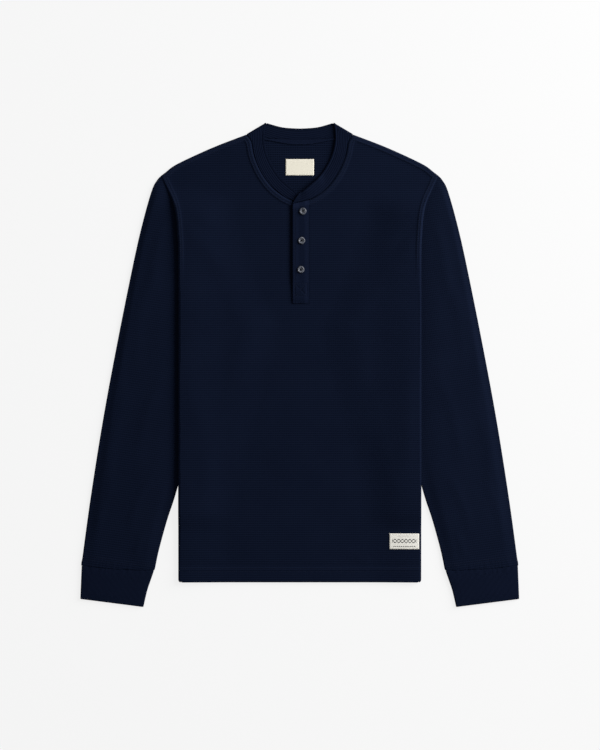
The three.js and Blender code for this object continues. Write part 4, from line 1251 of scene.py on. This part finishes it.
def cloth_frame(name, inputs, bend=0.0006):
    """Common start: the cloth's coordinates bent by noise, split into across and up, and the yarn's noise."""
    group, start, end = new_group(name, [("Cloth", "NodeSocketVector", None)] + inputs,
                                  [("Height", "NodeSocketFloat"), ("PaintedLightAndTone", "NodeSocketFloat")])
    noise = cloth_noise(group, start, 55.0, 2.0)
    shift = add_node(group, "ShaderNodeVectorMath", {0: noise.outputs["Color"], 1: (0.5, 0.5, 0.5)},
                     operation="SUBTRACT")
    small = add_node(group, "ShaderNodeVectorMath", {0: shift.outputs[0], "Scale": bend}, operation="SCALE")
    bent = add_node(group, "ShaderNodeVectorMath", {0: start.outputs["Cloth"], 1: small.outputs[0]},
                    operation="ADD")
    parts = add_node(group, "ShaderNodeSeparateXYZ", {0: bent.outputs[0]})
    hairs = cloth_noise(group, start, 2600.0, 3.0)
    cloudy = cloth_noise(group, start, 14.0, 3.0)
    return group, start, end, parts.outputs["X"], parts.outputs["Y"], hairs.outputs[0], cloudy.outputs[0]


def finish_pattern(group, end, relief, hairs, cloudy):
    """Height is the relief plus a little of the hairs; the colour is mostly relief, painted shade in the hollows
    and a painted highlight on the crowns, with hairs and slow clouds.
    """
    height = calculate(group, "MULTIPLY_ADD", hairs, 0.22, relief)
    painted_light_and_tone = calculate(group, "MULTIPLY_ADD", relief, 0.4, calculate(group, "MULTIPLY", hairs, 0.4))
    painted_light_and_tone = calculate(group, "MULTIPLY_ADD", cloudy, 0.3, painted_light_and_tone)
    group.links.new(height, end.inputs["Height"])
    group.links.new(painted_light_and_tone, end.inputs["PaintedLightAndTone"])
    return group


def waffle_group():
    """The higher of a row bar and a lower column bar."""
    group, start, end, across, up, hairs, cloudy = cloth_frame(
        "waffle_knit", [("Row", "NodeSocketFloat", 0.0036), ("Column", "NodeSocketFloat", 0.0029)])
    rows = wave(group, up, start.outputs["Row"], 2.4)
    columns = calculate(group, "MULTIPLY", wave(group, across, start.outputs["Column"], 2.4), 0.5)
    return finish_pattern(group, end, calculate(group, "MAXIMUM", rows, columns), hairs, cloudy)


def rib_group():
    """One rounded ridge a wale, crossed by faint courses."""
    group, start, end, across, up, hairs, cloudy = cloth_frame(
        "fine_rib", [("Wale", "NodeSocketFloat", 0.0019), ("Course", "NodeSocketFloat", 0.0008)], 0.0003)
    wales = wave(group, across, start.outputs["Wale"], 1.4)
    courses = wave(group, up, start.outputs["Course"], 2.0)
    relief = calculate(group, "MULTIPLY_ADD", courses, 0.16, calculate(group, "MULTIPLY", wales, 0.84))
    return finish_pattern(group, end, relief, hairs, cloudy)


def twill_group():
    """Slanting lines: a wave of the sum of across and up."""
    group, start, end, across, up, hairs, cloudy = cloth_frame(
        "twill_tape", [("Line", "NodeSocketFloat", 0.0011)], 0.0001)
    lines = wave(group, calculate(group, "ADD", across, up), start.outputs["Line"], 1.6)
    return finish_pattern(group, end, lines, hairs, cloudy)


def woven_group():
    """Satin label: very fine warp lines crossed by finer weft."""
    group, start, end, across, up, hairs, cloudy = cloth_frame(
        "woven_label", [("Warp", "NodeSocketFloat", 0.0005), ("Weft", "NodeSocketFloat", 0.0004)], 0.0)
    relief = calculate(group, "MULTIPLY", wave(group, across, start.outputs["Warp"], 1.0),
                       wave(group, up, start.outputs["Weft"], 1.0))
    return finish_pattern(group, end, relief, hairs, cloudy)


# %% [markdown]
# ## A generic woven design for the hem label
# The hem label has a dark woven design on cream. Here it is a rope of two crossing waves between two rows of
# dashes: plain geometry from distances, repeated with a modulo. It says nothing and stands for no name.

# %% Label design
def repeat(tree, value, period):
    """Distance from the middle of the nearest repeat."""
    cell = calculate(tree, "PINGPONG", calculate(tree, "ADD", value, period * 50), period / 2)
    return calculate(tree, "SUBTRACT", period / 2, cell)


def within(tree, value, limit, soft=0.00012):
    """1 where value is below limit, with a soft edge."""
    made = add_node(tree, "ShaderNodeMapRange", {0: value, 1: limit - soft, 2: limit + soft, 3: 1.0, 4: 0.0})
    return made.outputs[0]


def near(tree, value, middle, limit):
    """1 where value is closer to the middle than the limit."""
    return within(tree, calculate(tree, "ABSOLUTE", calculate(tree, "SUBTRACT", value, middle)), limit)


def hem_design_group():
    """Mask of the rope's two waves and of the two rows of dashes, from the place on the label in metres."""
    group, start, end = new_group("hem_label_design", [("Cloth", "NodeSocketVector", None)],
                                  [("Mask", "NodeSocketFloat")])
    parts = add_node(group, "ShaderNodeSeparateXYZ", {0: start.outputs["Cloth"]})
    x, y = parts.outputs["X"], parts.outputs["Y"]
    out_x = calculate(group, "ABSOLUTE", x)
    swing = calculate(group, "SINE", calculate(group, "MULTIPLY", x, 2 * np.pi / ROPE_PERIOD))
    strands = [near(group, y, calculate(group, "MULTIPLY_ADD", swing, turn * ROPE_SWING, 0.0006), ROPE_THICK)
               for turn in (1, -1)]
    rope = calculate(group, "MAXIMUM", *strands)
    mask = calculate(group, "MULTIPLY", rope, within(group, out_x, 0.0195))
    for level, period, dash, thick, reach, share in DASH_ROWS:
        dashes = within(group, repeat(group, x, period), dash)
        row = calculate(group, "MULTIPLY", near(group, y, level, thick), dashes)
        row = calculate(group, "MULTIPLY", row, within(group, out_x, reach))
        mask = calculate(group, "MAXIMUM", mask, calculate(group, "MULTIPLY", row, share))
    group.links.new(mask, end.inputs["Mask"])
    return group


ROPE_PERIOD = 0.0118
ROPE_SWING = 0.0027
ROPE_THICK = 0.0007
DASH_ROWS = [
    # height, period, half dash, half thickness, reach, share of the dark thread
    (-0.0082, 0.0030, 0.0010, 0.0008, 0.0186, 0.85),
    (0.0084, 0.0022, 0.0006, 0.0004, 0.0110, 0.45),
]

# %% [markdown]
# ## Finishes
# Dark cotton is matt, so its shader has almost no mirror reflection and only a trace of sheen. The pattern mixes
# a darker and a lighter tone of the same dye: the crowns of the knit are paler and its hollows darker, a little
# as wear and mostly as painted highlight and painted shade. A seam's band is paler, for its thread and as a
# painted highlight, and the neckband's edges are darkened with painted shade.

# %% Cloth materials
def principled(name, roughness, specular, sheen=0.0):
    """A new material with its Principled shader."""
    material = bpy.data.materials.new(name)
    material.use_nodes = True
    tree = material.node_tree
    shader = tree.nodes["Principled BSDF"]
    shader.inputs["Roughness"].default_value = roughness
    shader.inputs["Specular IOR Level"].default_value = specular
    shader.inputs["Sheen Weight"].default_value = sheen
    shader.inputs["Sheen Roughness"].default_value = 0.45
    shader.inputs["Sheen Tint"].default_value = (0.35, 0.45, 0.9, 1)
    return material, tree, shader


def cloth_material(name, group, sizes, dark, light, depth, roughness=0.92, specular=0.03, sheen=0.015,
                   bump=0.55):
    """Colour between two tones by the pattern's painted light and tone, paler on a seam's band for its thread and
    as a painted highlight, darker at the neckband's edges as painted shade, and a bump in metres.
    """
    material, tree, shader = principled(name, roughness, specular, sheen)
    place = add_node(tree, "ShaderNodeUVMap", uv_map="cloth")
    pattern = add_node(tree, "ShaderNodeGroup", node_tree=group)
    tree.links.new(place.outputs[0], pattern.inputs["Cloth"])
    for label, value in sizes.items():
        pattern.inputs[label].default_value = value
    # The seam attribute: paler on seam bands, partly thread and partly painted highlight; below 0, painted shade.
    seam = add_node(tree, "ShaderNodeAttribute", attribute_name="seam")
    painted_light_and_tone = calculate(tree, "MULTIPLY_ADD", seam.outputs["Fac"], 0.3, pattern.outputs["PaintedLightAndTone"])
    tone = add_node(tree, "ShaderNodeMix", {"Factor": painted_light_and_tone, "A": (*dark, 1), "B": (*light, 1)},
                    data_type="RGBA", clamp_factor=True)
    relief = add_node(tree, "ShaderNodeBump", {"Height": pattern.outputs["Height"], "Strength": bump,
                                               "Distance": depth})
    tree.links.new(tone.outputs["Result"], shader.inputs["Base Color"])
    tree.links.new(relief.outputs[0], shader.inputs["Normal"])
    return material


def thread_material(name, colour):
    """Plain dyed thread, with a fine twist from a noise on object coordinates."""
    material, tree, shader = principled(name, 0.75, 0.12)
    place = add_node(tree, "ShaderNodeTexCoord")
    twist = add_node(tree, "ShaderNodeTexNoise", {"Vector": place.outputs["Object"], "Scale": 1800.0})
    dark = tuple(0.7 * c for c in colour)
    tone = add_node(tree, "ShaderNodeMix", {"Factor": twist.outputs[0], "A": (*dark, 1), "B": (*colour, 1)},
                    data_type="RGBA")
    tree.links.new(tone.outputs["Result"], shader.inputs["Base Color"])
    return material


waffle = waffle_group()
rib = rib_group()
knit_cloth = cloth_material("waffle_navy", waffle, {}, (0.0014, 0.0030, 0.0098),
                            (0.0052, 0.0090, 0.0236), 0.0005)
# Inside the back the knit's hollows carry deeper painted shade and its crowns a brighter painted highlight.
inside_cloth = cloth_material("waffle_navy_inside", waffle, {}, (0.0006, 0.0017, 0.0066),
                              (0.0055, 0.0096, 0.0252), 0.0014)
rib_cloth = cloth_material("rib_navy", rib, {}, (0.0013, 0.0028, 0.0092), (0.0050, 0.0085, 0.0228), 0.0004)
# The neckband's ribs carry deeper painted shade between them.
band_cloth = cloth_material("band_navy", rib, {"Wale": 0.0034, "Course": 0.0011}, (0.0007, 0.0019, 0.0068),
                            (0.0051, 0.0087, 0.0236), 0.0008)
strip_cloth = cloth_material("placket_navy", rib, {"Wale": 0.0013, "Course": 0.0036},
                             (0.0012, 0.0027, 0.0092), (0.0050, 0.0086, 0.0232), 0.0004)
tape_cloth = cloth_material("tape_navy", twill_group(), {"Line": 0.0024}, (0.0013, 0.0030, 0.0102),
                            (0.0064, 0.0106, 0.0275), 0.0006)
navy_thread = thread_material("navy_thread", (0.0046, 0.0078, 0.0210))
dark_thread = thread_material("dark_thread", (0.0026, 0.0036, 0.0072))
cream_thread = thread_material("cream_thread", (0.66, 0.63, 0.54))


def label_material(name, dark, light, design=None):
    """Cream satin, darkened by a woven design where there is one."""
    material = cloth_material(name, woven_group(), {}, dark, light, 0.00012, roughness=0.6, specular=0.2,
                              sheen=0.0, bump=0.4)
    if design:
        tree = material.node_tree
        shader = tree.nodes["Principled BSDF"]
        place = next(n for n in tree.nodes if n.type == "UVMAP")
        mask = add_node(tree, "ShaderNodeGroup", {"Cloth": place.outputs[0]}, node_tree=design)
        plain = shader.inputs["Base Color"].links[0].from_socket
        tone = add_node(tree, "ShaderNodeMix", {"Factor": mask.outputs["Mask"], "A": plain,
                                                "B": (0.020, 0.022, 0.028, 1)}, data_type="RGBA")
        tree.links.new(tone.outputs["Result"], shader.inputs["Base Color"])
    return material


def button_material():
    """Marbled grey: two noises, one stretched by the other, over a dark and a pale grey."""
    material, tree, shader = principled("marbled_button", 0.32, 0.5)
    place = add_node(tree, "ShaderNodeTexCoord")
    swirl = add_node(tree, "ShaderNodeTexNoise", {"Vector": place.outputs["Object"], "Scale": 260.0,
                                                  "Detail": 4.0, "Distortion": 2.2})
    veins = add_node(tree, "ShaderNodeValToRGB", {"Fac": swirl.outputs[0]})
    stops = [(0.30, (0.012, 0.014, 0.021)), (0.44, (0.050, 0.056, 0.072)), (0.58, (0.125, 0.133, 0.155)),
             (0.72, (0.235, 0.245, 0.27))]
    ramp_stops = veins.color_ramp.elements
    while len(ramp_stops) < len(stops):
        ramp_stops.new(0.5)
    for stop, (place_at, colour) in zip(ramp_stops, stops):
        stop.position = place_at
        stop.color = (*colour, 1)
    tree.links.new(veins.outputs[0], shader.inputs["Base Color"])
    scratches = add_node(tree, "ShaderNodeTexNoise", {"Vector": place.outputs["Object"], "Scale": 1500.0})
    relief = add_node(tree, "ShaderNodeBump", {"Height": scratches.outputs[0], "Strength": 0.15,
                                               "Distance": 0.0001})
    tree.links.new(relief.outputs[0], shader.inputs["Normal"])
    return material


plain_label = label_material("cream_label", (0.66, 0.62, 0.505), (0.90, 0.86, 0.74))
design_label = label_material("cream_label_design", (0.70, 0.68, 0.61), (0.92, 0.90, 0.84), hem_design_group())
marbled = button_material()

# %% [markdown]
# ## Put the pieces on the part
# Each piece gets its finish, rides on the part's one body and stands for its solid. The area of the main cut
# pieces is printed.

# %% Attach
def attach(piece, material, slot, *nodes):
    """Finish, body and the solids that the piece stands for. The slot is not used."""
    piece.data.materials.append(material)
    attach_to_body(piece, "root")
    if nodes:
        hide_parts(*nodes)
    return piece


def cloth_area(piece):
    """Half the surface of a closed wall, in square metres."""
    areas = np.empty(len(piece.data.polygons))
    piece.data.polygons.foreach_get("area", areas)
    return areas.sum() / 2


attach(front, knit_cloth, "knit", "front_panel")
attach(back, inside_cloth, "knit", "back_panel")
attach(sleeve_left, knit_cloth, "knit", "sleeve_left")
attach(sleeve_right, knit_cloth, "knit", "sleeve_right")
attach(cuff_left, rib_cloth, "rib", "cuff_left")
attach(cuff_right, rib_cloth, "rib", "cuff_right")
attach(neckband, band_cloth, "rib", "neckband")
attach(placket_upper, strip_cloth, "rib", "placket_upper")
attach(placket_under, strip_cloth, "knit", "placket_under")
attach(neck_tape, tape_cloth, "tape", "neck_tape")
attach(neck_label, plain_label, "label", "neck_label")
attach(hem_label, design_label, "label", "hem_label")
for piece in (front_stitches, cuff_stitches, placket_stitches, buttonhole_stitches):
    attach(piece, navy_thread, "knit")
for piece in (hem_label_stitches, neck_label_stitches):
    attach(piece, cream_thread, "label")
attach(button_threads, dark_thread, "button")
for k, disc in enumerate(buttons):
    attach(disc, marbled, "button", f"button_{k + 1}")

for piece in (front, back, sleeve_left, cuff_left, neckband):
    print(f"{piece.name}: {cloth_area(piece):.4f} square metres")

# %% [markdown]
# ## Table, light and camera
# The photo has an even pale ground with hardly a shadow, and a key light low on the upper right that brightens
# the edges on that side. The ground gives most of its own light here, so it stays even, and takes only a faint
# contact shadow. The camera looks straight down from 3 m, and its lens frames 1.2 m from top to bottom.

# %% Table
def make_table():
    size = 4000.0
    points = np.array([(-size, -size, -0.3), (size, -size, -0.3), (size, size, -0.3), (-size, size, -0.3)])
    table = quad_mesh("table_top", points, np.array([[0, 1, 2, 3]]))
    material, tree, shader = principled("pale_table", 0.9, 0.0)
    shader.inputs["Base Color"].default_value = (0.12, 0.12, 0.12, 1)
    shader.inputs["Emission Color"].default_value = (1, 1, 1, 1)
    shader.inputs["Emission Strength"].default_value = 0.82
    table.data.materials.append(material)


make_table()

# %% Light
def area_light(name, place, size, energy, colour=(1, 1, 1)):
    """A square lamp that faces the middle of the top."""
    lamp = bpy.data.lights.new(name, "AREA")
    lamp.size = size
    lamp.energy = energy
    lamp.color = colour
    holder = bpy.data.objects.new(name, lamp)
    holder.location = place
    way = -holder.location
    holder.rotation_euler = way.to_track_quat("-Z", "Y").to_euler()
    bpy.context.scene.collection.objects.link(holder)
    return holder


def set_world(colour, strength):
    world = bpy.data.worlds.new("soft_room")
    world.use_nodes = True
    tree = world.node_tree
    seen = add_node(tree, "ShaderNodeLightPath")
    bright = add_node(tree, "ShaderNodeMapRange", {0: seen.outputs["Is Camera Ray"], 3: strength, 4: 1.0})
    ground = tree.nodes["Background"]
    ground.inputs["Color"].default_value = (*colour, 1)
    tree.links.new(bright.outputs[0], ground.inputs["Strength"])
    bpy.context.scene.world = world


area_light("key_light", (2.8, 1.36, 1.52), 2.2, 220.0)
set_world((0.92, 0.92, 0.93), 0.28)

# %% Camera
IMAGE_HEIGHT = 1.2
DISTANCE = 3.0
MIDDLE = (0.0004, -0.016)


def make_camera():
    """Lens = sensor times distance over the height that the image shows."""
    lens = bpy.data.cameras.new("camera")
    lens.type = "PERSP"
    lens.sensor_width = 36.0
    lens.lens = lens.sensor_width * DISTANCE / IMAGE_HEIGHT
    holder = bpy.data.objects.new("camera", lens)
    holder.location = (*MIDDLE, DISTANCE + BODY_FLAT * MM)
    bpy.context.scene.collection.objects.link(holder)
    bpy.context.scene.camera = holder


make_camera()
bpy.context.scene.view_settings.view_transform = "Standard"
bpy.context.scene.view_settings.look = "None"
